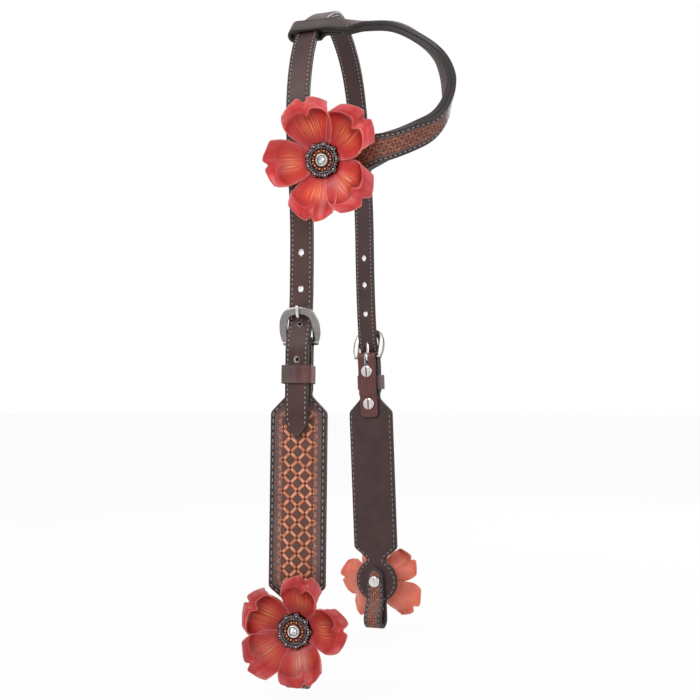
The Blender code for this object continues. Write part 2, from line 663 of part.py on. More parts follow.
def cheek_face_rows():
    """Outer cheek leather from its chape's end over the bar and down to the bit strap's tip."""
    low, high = SIZE["tail_low"], SIZE["tail_high"]
    fold = SIZE["fold_inner"] + CHEEK_FACE / 2
    lower_clamp = LOWER_SCREW - POST_HEAD_RADIUS
    keeper_low = KEEPER_TOP + KEEPER_HEIGHT + KEEPER_DROP
    tail_drops = np.array((CHAPE_END, CHAPE_END - CHAPE_CORNER / 3, CHAPE_END - CHAPE_CORNER,
                           lower_clamp, (lower_clamp + keeper_low) / 2, keeper_low,
                           KEEPER_TOP, SLOT_BOTTOM, FOLD_WIDTH * FOLD_RISE_SHARE))
    tail_y = np.array((low, low, low, low, (low + high) / 2, high, high, high, -fold))
    tail_half = np.full(len(tail_drops), CHAPE_TAIL_WIDTH / 2)
    tail_half[0] -= CHAPE_CORNER
    tail_half[1] -= CHAPE_CORNER / 3
    tail_deep = np.full(len(tail_drops), CHAPE_TAIL / 2)
    tail_deep[-1] = CHEEK_FACE / 2
    rows = [np.column_stack((tail_y, -tail_drops, tail_half, tail_deep))]
    angles = np.linspace(np.pi, 0.0, FOLD_STEPS + 1)
    over = np.column_stack((fold * np.cos(angles), fold * np.sin(angles)))
    rows.append(np.column_stack((over, np.full(len(over), FOLD_WIDTH / 2),
                                 np.full(len(over), CHEEK_FACE / 2))))
    drops = front_drops(0.0)[1:]
    rows.append(np.column_stack((np.full(len(drops), SIZE["face_y"]), -drops,
                                 cheek_half_width(drops), np.full(len(drops), CHEEK_FACE / 2))))
    radius = SIZE["face_y"] - SIZE["loop_y"]
    rows.append(bit_loop(radius, SIZE["bit_face_y"], CHEEK_FACE, BIT_TAIL_FACE, 0.0))
    return np.concatenate(rows)


def cheek_lining_rows():
    """Inner cheek leather from below the bar, round the bit loop, to the tip."""
    drops = front_drops(LINING_TOP)
    bare = (drops > CHAPE_END) & (drops < LOWER_CORNER)
    skive = np.where(bare, 0.0, CHEEK_SKIVE)
    middle = SIZE["lining_y"] + skive / 2
    front = np.column_stack((middle, -drops, cheek_half_width(drops), (CHEEK_LINING - skive) / 2))
    radius = SIZE["lining_y"] - SIZE["loop_y"]
    back = bit_loop(radius, SIZE["bit_lining_y"], CHEEK_LINING, BIT_TAIL_LINING, FIT)
    return np.concatenate((front, back))


def strap_from_rows(name, rows):
    centres = np.column_stack((np.zeros(len(rows)), rows[:, 0], rows[:, 1]))
    return loft(name, rings_along(centres, (-1, 0, 0), rows[:, 2], rows[:, 3]))


# Turned pieces face outward from the cheek, and the inner screws face the horse
OUTWARD = (math.radians(90.0), 0.0, math.radians(180.0))
INWARD = (math.radians(90.0), 0.0, 0.0)


def post_mesh(name, length):
    edge = POST_HEAD * HEAD_EDGE_SHARE
    profile = ((0.0, POST_HEAD), (POST_HEAD_RADIUS * SCREW_DOME_SHARE, POST_HEAD),
               (POST_HEAD_RADIUS, edge), (POST_HEAD_RADIUS, 0.0), (POST_RADIUS, 0.0),
               (POST_RADIUS, -length), (POST_BORE, -length), (POST_BORE, -FIT), (0.0, -FIT))
    return lathe(name, profile, SCREW_SIDES)


def screw_mesh(name, head_radius, head, radius, length):
    profile = ((0.0, head), (head_radius * SCREW_DOME_SHARE, head),
               (head_radius, head * HEAD_EDGE_SHARE), (head_radius, 0.0), (radius, 0.0),
               (radius, -length), (0.0, -length))
    return lathe(name, profile, SCREW_SIDES)


def add_screw(name, head_radius, head, radius, length, parent, place, turn):
    """Slotted screw with its head's underside at its origin."""
    screw = add(name, screw_mesh(name, head_radius, head, radius, length), NICKEL, parent, place,
                turn, smooth=math.radians(35.0))
    half = SCREW_SLOT_WIDTH / 2
    slot = box(name + "_slot", (-half, -head_radius - OVERRUN, head - SCREW_SLOT_DEPTH),
               (half, head_radius + OVERRUN, head + OVERRUN))
    cut(screw, cutter(name + "_slot", slot, screw))


def add_chicago(side, which, drop, tail_y, hook):
    """Post from the front and screw from the back, through the chape."""
    name = side["name"] + "_" + which
    tail_back = tail_y - CHAPE_TAIL / 2
    length = SIZE["post_seat"] - tail_back - FIT
    post = post_mesh(name + "_post", length)
    add(name + "_post", post, NICKEL, hook, (0, SIZE["post_seat"], -drop), OUTWARD,
        smooth=math.radians(35.0))
    shank = length - 2 * POST_HEAD
    add_screw(name + "_screw", POST_HEAD_RADIUS, SCREW_HEAD, SCREW_RADIUS, shank, hook,
              (0, tail_back - FIT, -drop), INWARD)


def add_keeper(side, hook):
    """Leather loop round the layers, open along the strap."""
    half = NECK_WIDTH / 2 + FIT
    inner_low, inner_high = SIZE["lining_back"] - FIT, SIZE["keeper_front"]
    rings = []
    quarter = np.linspace(0.0, np.pi / 2, 4)
    for grow, corner in ((0.0, KEEPER_CORNER / 4), (KEEPER, KEEPER_CORNER)):
        wide = half + grow - corner
        mid = (inner_low + inner_high) / 2
        tall = (inner_high - inner_low) / 2 + grow - corner
        outline = []
        for turn, (sx, sy) in enumerate(((1, 1), (-1, 1), (-1, -1), (1, -1))):
            angles = quarter + turn * np.pi / 2
            outline += [(sx * wide + corner * math.cos(a), mid + sy * tall + corner * math.sin(a))
                        for a in angles]
        rings.append(np.array(outline))
    inner, outer = rings
    tall = KEEPER_HEIGHT / 2
    levels = ((inner, -tall), (outer, -tall), (outer, tall), (inner, tall))
    skin = [np.column_stack((ring[:, 0], ring[:, 1], np.full(len(ring), z))) for ring, z in levels]
    name = side["name"] + "_keeper"
    add(name, loft(name, skin, ends=False), DARK, hook, (0, 0, -KEEPER_TOP - tall),
        smooth=math.radians(40.0))


def buckle_route():
    """Middle line of the horseshoe in its own plane, from foot to foot."""
    half = (BUCKLE_INNER + BUCKLE_BAND) / 2
    spring = BUCKLE_RISE * BUCKLE_SPRING_SHARE
    angles = np.linspace(np.pi, 0.0, ARCH_STEPS + 1)
    power = 2 / BUCKLE_ARCH_POWER
    x = half * np.sign(np.cos(angles)) * np.abs(np.cos(angles)) ** power
    rise = BUCKLE_RISE / math.cos(BUCKLE_TILT) - spring
    q = spring + rise * np.abs(np.sin(angles)) ** power
    feet = np.array(((-half, -BUCKLE_FOOT), (-half, 0.0), (-half, spring / 2)))
    other = feet[::-1] * (-1, 1)
    return np.concatenate((feet, np.column_stack((x, q)), other))


def add_buckle(side, hook):
    """Horseshoe band joined to its bar, and the tongue that turns on the bar."""
    flat = buckle_route()
    centres = np.column_stack((flat[:, 0], flat[:, 1] * math.sin(BUCKLE_TILT),
                               flat[:, 1] * math.cos(BUCKLE_TILT)))
    normal = np.array((0.0, math.cos(BUCKLE_TILT), -math.sin(BUCKLE_TILT)))
    across = np.cross(normal, unit(np.gradient(centres, axis=0)))
    taper = glide(flat[:, 1], (-BUCKLE_FOOT, BUCKLE_RISE * BUCKLE_SPRING_SHARE, 2 * BUCKLE_RISE),
                  (BUCKLE_FOOT_SHARE, 1.0, 1.0))
    edge, level = BUCKLE_EDGE_SHARE, BUCKLE_FLAT_SHARE
    section = np.array(((-1, -edge), (-level, -1), (level, -1), (1, -edge),
                        (1, edge), (level, 1), (-level, 1), (-1, edge)))
    name = side["name"] + "_buckle_frame"
    rings = rings_along(centres, across, BUCKLE_BAND / 2 * taper, BUCKLE_THICKNESS / 2, section)
    band = loft(name, rings)
    frame = add(name, band, NICKEL, hook, smooth=math.radians(50.0))
    reach = (BUCKLE_INNER + BUCKLE_BAND) / 2
    bar = rod(name + "_bar", (-reach, 0, 0), (reach, 0, 0), BAR_RADIUS)
    cut(frame, cutter(name + "_bar", bar, frame), "UNION")
    name = side["name"] + "_buckle_tongue"
    eye = BAR_RADIUS + TONGUE_EYE_CLEARANCE + TONGUE_RADIUS
    angles = np.arange(FOLD_STEPS) * 2 * np.pi / FOLD_STEPS
    profile = circle(ROUND_SIDES) * TONGUE_RADIUS
    rings = [np.column_stack((profile[:, 0], (eye + profile[:, 1]) * math.cos(a),
                              (eye + profile[:, 1]) * math.sin(a))) for a in angles]
    tongue = add(name, loft(name, rings, ends=False), NICKEL, hook, smooth=math.radians(50.0))
    stem = tongue_route()
    slim = np.full(len(stem), TONGUE_RADIUS)
    slim[-1] *= SCREW_DOME_SHARE
    profile = circle(ROUND_SIDES, turn=math.pi / ROUND_SIDES)
    stem_mesh = loft(name + "_stem", rings_along(stem, (1, 0, 0), slim, slim, profile))
    cut(tongue, cutter(name + "_stem", stem_mesh, tongue), "UNION")


def petal_columns(turns):
    """Angles of the disc's columns: each petal has the sector halfway to its neighbours."""
    order = sorted(turns)
    middle = [math.radians(turn) for turn, _ in order]
    edges = []
    for index, angle in enumerate(middle):
        before = middle[index - 1] - (2 * math.pi if index == 0 else 0)
        edges.append((before + angle) / 2)
    edges.append(edges[0] + 2 * math.pi)
    return order, middle, edges


def flower_mesh(name, petals):
    """Flat disc with a hole, and petals that rise from its rim, as one skin of even thickness."""
    order, middle, edges = petal_columns(petals)
    points, faces = [], []
    per = PETAL_COLUMNS
    total = per * len(order)
    spokes = []
    for index in range(len(order)):
        spokes += [edges[index] + (edges[index + 1] - edges[index]) * step / per for step in range(per)]
    for radius in (FLOWER_BORE, FLOWER_DISC):
        points += [(radius * math.cos(a), radius * math.sin(a), FLOWER_LEATHER) for a in spokes]
    for step in range(total):
        after = (step + 1) % total
        faces.append((step, after, total + after, total + step))
    side = np.linspace(-1.0, 1.0, per + 1)
    for index, (_, share) in enumerate(order):
        below = [total + (index * per + column) % total for column in range(per + 1)]
        out = np.array((math.cos(middle[index]), math.sin(middle[index])))
        left = np.array((-out[1], out[0]))
        reach = PETAL_LENGTH * share - FLOWER_DISC
        for row in range(1, PETAL_ROWS + 1):
            a = PETAL_ROW_SHARES[row]
            trim = PETAL_EDGE_SHARE * side ** 4 + PETAL_NOTCH_SHARE * np.exp(
                -(side / PETAL_NOTCH_SPREAD_SHARE) ** 2)
            along = FLOWER_DISC + reach * a * (1 - trim * a ** 3)
            wide = PETAL_WIDTH / 2 * share * PETAL_WIDTH_SHARES[row] * side
            plan = out[None, :] * along[:, None] + left[None, :] * wide[:, None]
            high = (FLOWER_LEATHER + PETAL_RISE * PETAL_RISE_SHARES[row]
                    + PETAL_CUP * PETAL_CUP_SHARES[row] * side ** 2)
            here = list(range(len(points), len(points) + per + 1))
            points += [(x, y, z) for (x, y), z in zip(plan, high)]
            faces += [(below[c], below[c + 1], here[c + 1], here[c]) for c in range(per)]
            below = here
    mesh = bpy.data.meshes.new(name)
    mesh.from_pydata([tuple(map(float, point)) for point in points], [], faces)
    if mesh.polygons[0].normal.z < 0:
        mesh.flip_normals()
    return mesh


def concho_mesh(name, post_length):
    """Scalloped dish with a raised ring, a bezel for the stone and a bored post behind."""
    outer = [(CONCHO_RADIUS * r, CONCHO_HEIGHT * h) for r, h in CONCHO_RIM_SHARES]
    inner = [(CONCHO_RADIUS * r, CONCHO_HEIGHT * h) for r, h in CONCHO_DISH_SHARES]
    profile = [(0.0, STONE_SEAT), (BEZEL_EDGE, STONE_SEAT), (BEZEL_EDGE, BEZEL_TOP),
               (BEZEL_RADIUS, BEZEL_TOP - FIT), *inner[::-1], *outer[::-1],
               (CONCHO_RADIUS * CONCHO_VALLEY_SHARE, 0.0), (CONCHO_POST_RADIUS, 0.0),
               (CONCHO_POST_RADIUS, -post_length), (CONCHO_POST_BORE, -post_length),
               (CONCHO_POST_BORE, -CONCHO_WEB), (0.0, -CONCHO_WEB)]
    first = 3 + len(inner)
    last = first + len(outer)

    def lobes(row, side):
        if first <= row <= last and side % CONCHO_LOBE_STEPS == 0:
            return CONCHO_VALLEY_SHARE, CONCHO_VALLEY_DROP_SHARE
        return 1.0, 1.0

    return lathe(name, profile, CONCHO_LOBES * CONCHO_LOBE_STEPS, lobes)


def add_flower(prefix, hook, place, turn, petals, depth):
    """Flower, its jewelled concho and the slotted screw behind, on one axis."""
    flower = add(prefix + "flower", flower_mesh(prefix + "flower", petals), RED, hook, place, turn,
                 smooth=math.radians(60.0))
    skin = flower.modifiers.new("leather", "SOLIDIFY")
    skin.thickness = FLOWER_LEATHER
    skin.offset = -1.0
    base = FLOWER_LEATHER + FIT
    turned = Euler(turn).to_matrix()
    out = turned @ Vector((0, 0, 1))
    place = Vector(place)
    post_length = base + depth - FIT
    add(prefix + "concho", concho_mesh(prefix + "concho", post_length), GUNMETAL, hook,
        place + out * base, turn, smooth=math.radians(40.0))
    radius = BEZEL_EDGE - FIT
    profile = ((0.0, STONE_HEIGHT), (radius * STONE_TABLE_SHARE, STONE_HEIGHT),
               (radius, STONE_HEIGHT * STONE_GIRDLE_SHARE), (radius * STONE_FOOT_SHARE, 0.0),
               (0.0, 0.0))
    add(prefix + "crystal", lathe(prefix + "crystal", profile, STONE_SIDES), STONE, hook,
        place + out * (base + STONE_SEAT + FIT), turn)
    back = Euler((math.pi, 0, 0)).to_matrix()
    back_turn = (turned @ back).to_euler()
    shank = post_length - CONCHO_WEB - FIT - OVERRUN / 2
    add_screw(prefix + ("screw" if prefix == "ear_" else "bit_screw"), BIT_SCREW_HEAD_RADIUS,
              BIT_SCREW_HEAD, BIT_SCREW_RADIUS, shank, hook, place - out * (depth + FIT), back_turn)


def build_cheek(side, hook):
    name = side["name"]
    face = add(name + "_cheek_face", strap_from_rows(name + "_cheek_face", cheek_face_rows()),
               TOOLED, hook)
    lining = add(name + "_cheek_lining",
                 strap_from_rows(name + "_cheek_lining", cheek_lining_rows()), INSIDE, hook)
    front = SIZE["face_front"] + OVERRUN
    back = SIZE["bit_back"] - OVERRUN
    reach = SIZE["face_front"] + OVERRUN
    holes = [rod("post", (0, back, -drop), (0, front, -drop), POST_RADIUS + FIT)
             for drop in (UPPER_SCREW, LOWER_SCREW)]
    holes.append(rod("bit", (0, back, -FLARE_CENTRE), (0, front, -FLARE_CENTRE),
                     CONCHO_POST_RADIUS + FIT))
    half = SLOT_WIDTH / 2
    holes.append(box("slot", (-half, -reach, -SLOT_BOTTOM), (half, reach, SLOT_TOP)))
    tool = cutter(name + "_bores", merged(name + "_bores", holes), hook)
    cut(face, tool)
    cut(lining, tool)
    add_buckle(side, hook)
    add_keeper(side, hook)
    add_chicago(side, "upper", UPPER_SCREW, SIZE["tail_high"], hook)
    add_chicago(side, "lower", LOWER_SCREW, SIZE["tail_low"], hook)
    seat = (0.0, SIZE["flower_seat"], -FLARE_CENTRE)
    add_flower(name + "_", hook, seat, OUTWARD, side["petals"], SIZE["flower_seat"] - SIZE["bit_back"])


def crossing(share):
    """Where the ear piece crosses the crown: point, direction up the crown and outward normal."""
    centres, across, _ = crown_stations()
    out = normals(centres, across)
    near = centres[:, 1] < 0
    heights = centres[near, 2]
    order = np.argsort(heights)
    at = share * CROWN_DROP
    heights, middle, facings = heights[order], centres[near][order], out[near][order]
    point = np.array([np.interp(at, heights, middle[:, axis]) for axis in range(3)])
    facing = np.array([np.interp(at, heights, facings[:, axis]) for axis in range(3)])
    facing = unit(facing * (0, 1, 1))
    return point, np.cross(facing, (1.0, 0.0, 0.0)), facing


def ear_stations():
    """The ear piece's middle line with its directions, and the distance along it."""
    low, up_low, out_low = crossing(EAR_LOW_SHARE)
    top, up_top, out_top = crossing(EAR_TOP_SHARE)
    start = CROWN_WIDTH / 2 + EAR_WRAP_PAST
    ahead = np.array((1.0, 0.0, 0.0))
    low = low + out_low * SIZE["ear_lift"]
    top = top + out_top * SIZE["ear_lift"]
    shares = np.array(EAR_ROUTE_SHARES) * (EAR_REACH, HEAD_WIDTH, CROWN_DROP)
    near_end = [low + ahead * x for x in (-start, 0.0, start, start + EAR_JOIN, start + EAR_LOW_RETURN,
                                          start + EAR_LOW_RETURN + EAR_GROW)]
    far_end = [top + ahead * x for x in (start + EAR_JOIN / 2, start, 0.0, -start)]
    control = np.concatenate((near_end, shares, far_end))
    across = np.concatenate(([up_low] * len(near_end), EAR_ACROSS, [-up_top] * len(far_end)))
    knots = lengths(control)
    marks = (0.0, 2 * start, 2 * start + EAR_JOIN, 2 * start + EAR_LOW_RETURN,
             2 * start + EAR_LOW_RETURN + EAR_GROW, 2 * start + EAR_LINING_PAST)
    top_marks = (0.0, 2 * start, 2 * start + EAR_JOIN, 2 * start + EAR_TOP_RETURN,
                 2 * start + EAR_TOP_RETURN + EAR_GROW, 2 * start + EAR_LINING_PAST)
    even = np.linspace(0.0, knots[-1], EAR_STATIONS)
    at = np.unique(np.round(np.concatenate((even, marks, knots[-1] - np.array(top_marks))), 7))
    keep = np.concatenate(([True], np.diff(at) > 4 * FIT))
    at = at[keep]
    points = spline(control, at)
    wide = np.column_stack([np.interp(at, knots, across[:, axis]) for axis in range(3)])
    forward = unit(np.gradient(points, axis=0))
    out = unit(np.cross(forward, wide))
    return points, unit(np.cross(out, forward)), out, at, knots[-1]


def ear_between(at, total, wrap, stack_low, stack_top, loop):
    """A value along the ear piece: at the wraps, in the joined stacks and round the free loop."""
    start = CROWN_WIDTH / 2 + EAR_WRAP_PAST
    first = 2 * start
    knots = (0.0, first, first + EAR_JOIN, first + EAR_LOW_RETURN + FIT,
             first + EAR_LOW_RETURN + EAR_GROW)
    last = (first + EAR_TOP_RETURN + EAR_GROW, first + EAR_TOP_RETURN + FIT,
            first + EAR_JOIN, first, 0.0)
    knots = np.concatenate((knots, total - np.array(last)))
    values = (wrap, wrap, stack_low, stack_low, loop, loop, stack_top, stack_top, wrap, wrap)
    return glide(at, knots, values)


def ear_half_width(at, total):
    first = CROWN_WIDTH + 2 * EAR_WRAP_PAST
    narrow = np.array(EAR_TAPER_SHARES) * total
    knots = (0.0, narrow[0], narrow[1], total - first - EAR_TOP_RETURN, total - first)
    widths = (EAR_TOOLED_WIDTH, EAR_TOOLED_WIDTH, EAR_WIDTH, EAR_WIDTH, EAR_POLL_WIDTH)
    return glide(at, knots, widths) / 2


def build_ear(hook, pivot):
    points, across, out, at, total = ear_stations()
    half = ear_half_width(at, total)
    stack = SIZE["ear_stack"] / 2
    front = stack - EAR_WRAP / 2
    loop_front = SIZE["ear_loop"] / 2 - EAR_FACE / 2
    offset = ear_between(at, total, front, front, front, loop_front)
    deep = ear_between(at, total, EAR_WRAP, EAR_WRAP, EAR_WRAP, EAR_FACE) / 2
    main = points + out * offset[:, None]
    under = ear_between(at, total, front - 2 * SIZE["wrap"], -front, -front, -front)
    start = CROWN_WIDTH / 2 + EAR_WRAP_PAST
    low_end = at <= 2 * start + EAR_LOW_RETURN
    top_end = at >= total - 2 * start - EAR_TOP_RETURN
    back = points + out * under[:, None]
    angles = np.linspace(0.0, np.pi, FOLD_STEPS + 1)[1:-1, None]
    bends = []
    for index, way in ((0, 1), (-1, -1)):
        middle = points[index] + out[index] * (front - SIZE["wrap"])
        forward = np.cross(across[index], out[index]) * way
        spoke = -forward * np.sin(angles) - out[index] * way * np.cos(angles)
        bends.append((middle + spoke * SIZE["wrap"], spoke))
    pieces = ((back[low_end][::-1], across[low_end][::-1], half[low_end][::-1], EAR_WRAP / 2,
               -out[low_end][::-1]),
              (bends[0][0], across[0], half[0], EAR_WRAP / 2, bends[0][1]),
              (main, across, half, deep, out),
              (bends[1][0], across[-1], half[-1], EAR_WRAP / 2, bends[1][1]),
              (back[top_end][::-1], across[top_end][::-1], half[top_end][::-1], EAR_WRAP / 2,
               -out[top_end][::-1]))
    rings = np.concatenate([
        rings_along(middle, side, wide, thick, depth=np.broadcast_to(facing, middle.shape))
        for middle, side, wide, thick, facing in pieces])
    face = add("ear_face", loft("ear_face", rings - pivot, split=True), TOOLED, hook)
    lining_from = 2 * start + EAR_LINING_PAST - FIT
    inside = (at >= lining_from) & (at <= total - lining_from)
    loop_back = -SIZE["ear_loop"] / 2 + EAR_LINING / 2
    shift = ear_between(at, total, 0.0, 0.0, 0.0, loop_back)[inside]
    thick = ear_between(at, total, *[EAR_WRAP_LINING] * 3, EAR_LINING)[inside]
    middle = points[inside] + out[inside] * shift[:, None]
    rings = rings_along(middle, across[inside], half[inside], thick / 2, depth=out[inside])
    lining = add("ear_lining", loft("ear_lining", rings - pivot, split=True), INSIDE, hook)
    place_at = start + EAR_CONCHO_OUT
    spot = np.array([np.interp(place_at, at, points[:, axis]) for axis in range(3)])
    facing = out[0]
    reach = facing * (stack + OVERRUN)
    hole = rod("ear_bore", spot - reach - pivot, spot + reach - pivot, CONCHO_POST_RADIUS + FIT)
    tool = cutter("ear_bore", hole, hook)
    cut(face, tool)
    cut(lining, tool)
    seat = spot + facing * (stack + FIT) - pivot
    turn = Matrix((np.cross(across[0], facing), across[0], facing)).transposed().to_euler()
    add_flower("ear_", hook, seat, turn, UPPER_PETALS, 2 * stack + FIT)


def ear_pivot():
    """Point about which the ear piece slides round the crown: where its two crossings' normals meet."""
    low, _, out_low = crossing(EAR_LOW_SHARE)
    top, _, out_top = crossing(EAR_TOP_SHARE)
    steps = np.linalg.solve(np.column_stack((out_low[1:], -out_top[1:])), (top - low)[1:])
    return low + out_low * steps[0]


def build():
    for old in list(bpy.data.objects):
        bpy.data.objects.remove(old)
    hooks = {}
    for side in (NEAR, FAR):
        turn = side["turn"].to_euler()
        hooks[side["name"]] = empty(side["name"] + "_cheek", side["place"], turn)
    build_crown(hooks)
    for side in (NEAR, FAR):
        build_cheek(side, hooks[side["name"]])
    pivot = ear_pivot()
    build_ear(empty("ear_piece", pivot), pivot)
    bpy.context.view_layer.update()


build()
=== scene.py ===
# %% [markdown]
# # A one-ear western headstall
# A headstall is the part of a bridle that goes over a horse's poll and carries the bit. This one has a
# doubled crown strap, an ear piece that slides on it, and two tooled cheeks that buckle to its ends.
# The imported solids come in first. They are the frame: every piece below stands where a solid stands.

# %% Frame
import math

import bpy
import numpy as np
from mathutils import Euler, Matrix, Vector


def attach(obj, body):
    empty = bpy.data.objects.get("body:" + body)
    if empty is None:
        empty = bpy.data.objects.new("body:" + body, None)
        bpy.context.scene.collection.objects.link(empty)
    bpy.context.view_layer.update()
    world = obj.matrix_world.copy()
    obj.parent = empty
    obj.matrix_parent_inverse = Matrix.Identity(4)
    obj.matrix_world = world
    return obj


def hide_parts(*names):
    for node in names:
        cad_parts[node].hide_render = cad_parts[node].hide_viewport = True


MM = 0.001

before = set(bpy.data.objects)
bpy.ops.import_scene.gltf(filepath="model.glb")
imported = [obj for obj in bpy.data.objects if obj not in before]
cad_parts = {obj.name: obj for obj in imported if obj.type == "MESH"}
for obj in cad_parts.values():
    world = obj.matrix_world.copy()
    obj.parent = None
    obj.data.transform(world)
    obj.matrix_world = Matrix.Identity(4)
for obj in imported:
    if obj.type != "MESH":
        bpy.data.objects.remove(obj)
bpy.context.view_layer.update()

# %% [markdown]
# ## Camera, light and backdrop
# The straps were photographed level, from 15 degrees in front of the near side, so verticals stay
# vertical and the lens is shifted up instead of tilted. A big soft lamp high on the left, a weaker one
# on the right and a pale world keep the shadows open. White comes from what the camera sees of the
# world, not from more light on the leather.

# %% Camera
PHOTO_SIZE = 700
SENSOR = 36.0
CAMERA_TURN = math.radians(15.0)
CAMERA_PLACE = (0.209, -0.7453, -0.290)
CAMERA_SHIFT = 60 / PHOTO_SIZE
LENS_SHARE = 1019 / PHOTO_SIZE
NEAR_CLIP = 10 * MM


def new_object(name, data):
    """Object of that data in the scene."""
    made = bpy.data.objects.new(name, data)
    bpy.context.scene.collection.objects.link(made)
    return made


lens = bpy.data.cameras.new("camera")
lens.sensor_width = SENSOR
lens.lens = SENSOR * LENS_SHARE
lens.shift_y = CAMERA_SHIFT
lens.clip_start = NEAR_CLIP
camera = new_object("camera", lens)
camera.location = CAMERA_PLACE
camera.rotation_euler = (math.radians(90.0), 0.0, CAMERA_TURN)
bpy.context.scene.camera = camera
bpy.context.scene.view_settings.view_transform = "Standard"
print("lens:", round(lens.lens, 2), "mm")

# %% Lamps
LAMPS = (
    ("high_left", (-0.75, -1.10, 0.75), 1.10, 13.0),
    ("front_right", (1.10, -0.95, 0.10), 0.90, 5.0),
    ("far_side", (0.35, 1.20, 0.45), 1.00, 9.0))
AIM = Vector((0.03, 0.0, -0.24))

for name, place, size, power in LAMPS:
    light = bpy.data.lights.new(name, "AREA")
    light.shape = "DISK"
    light.size = size
    light.energy = power
    lamp = new_object(name, light)
    lamp.location = place
    lamp.rotation_euler = (Vector(place) - AIM).to_track_quat("Z", "Y").to_euler()
print("lamps:", len(LAMPS))

# %% [markdown]
# Materials here are small node trees. These helpers add one node at a time, set its plain values on
# its own sockets and link what varies.


# %% Node helpers
def colour(red, green, blue):
    """Scene colour of a colour as a screen shows it: each channel to the power of about 2.2."""
    shown = np.array((red, green, blue)) / 255
    linear = np.where(shown <= 0.04045, shown / 12.92, ((shown + 0.055) / 1.055) ** 2.4)
    return (*linear.tolist(), 1.0)


def node(tree, kind, settings=None, **sockets):
    """Node of that kind: settings go on the node, values on its sockets, outputs are linked."""
    made = tree.nodes.new(kind)
    for name, value in (settings or {}).items():
        setattr(made, name, value)
    for name, value in sockets.items():
        key = int(name[1:]) if name[0] == "i" and name[1:].isdigit() else name.replace("_", " ")
        if isinstance(value, bpy.types.NodeSocket):
            tree.links.new(value, made.inputs[key])
        else:
            made.inputs[key].default_value = value
    return made


def mixed(tree, factor, first, second, way="MIX"):
    """Colour that goes from the first to the second by a factor, or by a blend mode."""
    made = node(tree, "ShaderNodeMix", {"data_type": "RGBA", "blend_type": way}, i0=factor, i6=first,
                i7=second)
    return made.outputs[2]


def ranged(tree, value, low, high, from_low=0.0, from_high=1.0):
    """The value moved from one range to another, held at its ends."""
    made = node(tree, "ShaderNodeMapRange", None, i0=value, i1=from_low, i2=from_high, i3=low, i4=high)
    return made.outputs[0]


def new_material(name):
    """Material with its node tree and its shader."""
    made = bpy.data.materials.new(name)
    made.use_nodes = True
    return made, made.node_tree, made.node_tree.nodes["Principled BSDF"]


def seen_directly(tree):
    """1 on rays from the camera, a reflection or a clear piece, and 0 on all other light."""
    path = node(tree, "ShaderNodeLightPath")
    seen = path.outputs["Is Camera Ray"]
    for ray in ("Is Glossy Ray", "Is Transmission Ray"):
        most = node(tree, "ShaderNodeMath", {"operation": "MAXIMUM"}, i0=seen, i1=path.outputs[ray])
        seen = most.outputs[0]
    return seen


# %% Backdrop
WORLD_LIGHT = 0.42
FLOOR_DROP = -0.482
FLOOR_HALF = 40.0
FLOOR_SHARE = 0.94
FLOOR_GREY = (0.86, 0.86, 0.86, 1.0)
FLOOR_ROUGHNESS = 0.9
WHITE = (1.0, 1.0, 1.0, 1.0)

world = bpy.data.worlds.new("studio")
bpy.context.scene.world = world
world.use_nodes = True
tree = world.node_tree
tree.nodes.clear()
strength = ranged(tree, seen_directly(tree), WORLD_LIGHT, 1.0)
sky = node(tree, "ShaderNodeBackground", None, Color=WHITE, Strength=strength)
node(tree, "ShaderNodeOutputWorld", None, Surface=sky.outputs[0])

plane = bpy.data.meshes.new("floor")
plane.from_pydata([(x * FLOOR_HALF, y * FLOOR_HALF, FLOOR_DROP)
                   for x, y in ((-1, -1), (1, -1), (1, 1), (-1, 1))], [], [(0, 1, 2, 3)])
floor = new_object("floor", plane)
pale, tree, skin = new_material("pale_floor")
skin.inputs["Base Color"].default_value = FLOOR_GREY
skin.inputs["Roughness"].default_value = FLOOR_ROUGHNESS
share = ranged(tree, seen_directly(tree), 0.0, FLOOR_SHARE)
glow = node(tree, "ShaderNodeEmission", None, Color=WHITE, Strength=1.0)
both = node(tree, "ShaderNodeMixShader", None, i0=share, i1=skin.outputs[0], i2=glow.outputs[0])
tree.links.new(both.outputs[0], tree.nodes["Material Output"].inputs["Surface"])
plane.materials.append(pale)
print("floor at", FLOOR_DROP)

# %% [markdown]
# ## Routes
# Every strap is a flat section carried along a route. The routes are the ones that the solids follow,
# read here at finer steps: smooth cubic curves through a few points measured on the real piece.


# %% Curve helpers
def unit(vectors):
    """The same directions at length 1."""
    return vectors / np.linalg.norm(vectors, axis=-1, keepdims=True)


def full_turn(count, start=0.0):
    """Angles of so many equal steps of a circle, the first at a share of a step."""
    return (np.arange(count) + start) * 2 * np.pi / count


def lengths(points):
    """Distance along a row of points, from its first."""
    return np.concatenate(([0.0], np.cumsum(np.linalg.norm(np.diff(points, axis=0), axis=1))))


def glide(at, knots, values):
    """Smooth curve through the knots that never overshoots: cubic pieces with harmonic-mean slopes."""
    at = np.atleast_1d(np.asarray(at, float))
    knots = np.asarray(knots, float)
    values = np.asarray(values, float)
    steps = np.diff(knots)
    slopes = np.diff(values) / steps
    tangents = np.zeros(len(knots))
    same_way = slopes[:-1] * slopes[1:] > 0
    before = 2 * steps[1:] + steps[:-1]
    after = steps[1:] + 2 * steps[:-1]
    low = np.where(same_way, slopes[:-1], 1)
    high = np.where(same_way, slopes[1:], 1)
    tangents[1:-1] = np.where(same_way, (before + after) / (before / low + after / high), 0)
    part = np.clip(np.searchsorted(knots, at, side="right") - 1, 0, len(steps) - 1)
    local = np.clip((at - knots[part]) / steps[part], 0, 1)
    rise = local * local * (3 - 2 * local)
    lead = local * (1 - local) ** 2 * steps[part] * tangents[part]
    trail = -local * local * (1 - local) * steps[part] * tangents[part + 1]
    return values[part] * (1 - rise) + values[part + 1] * rise + lead + trail


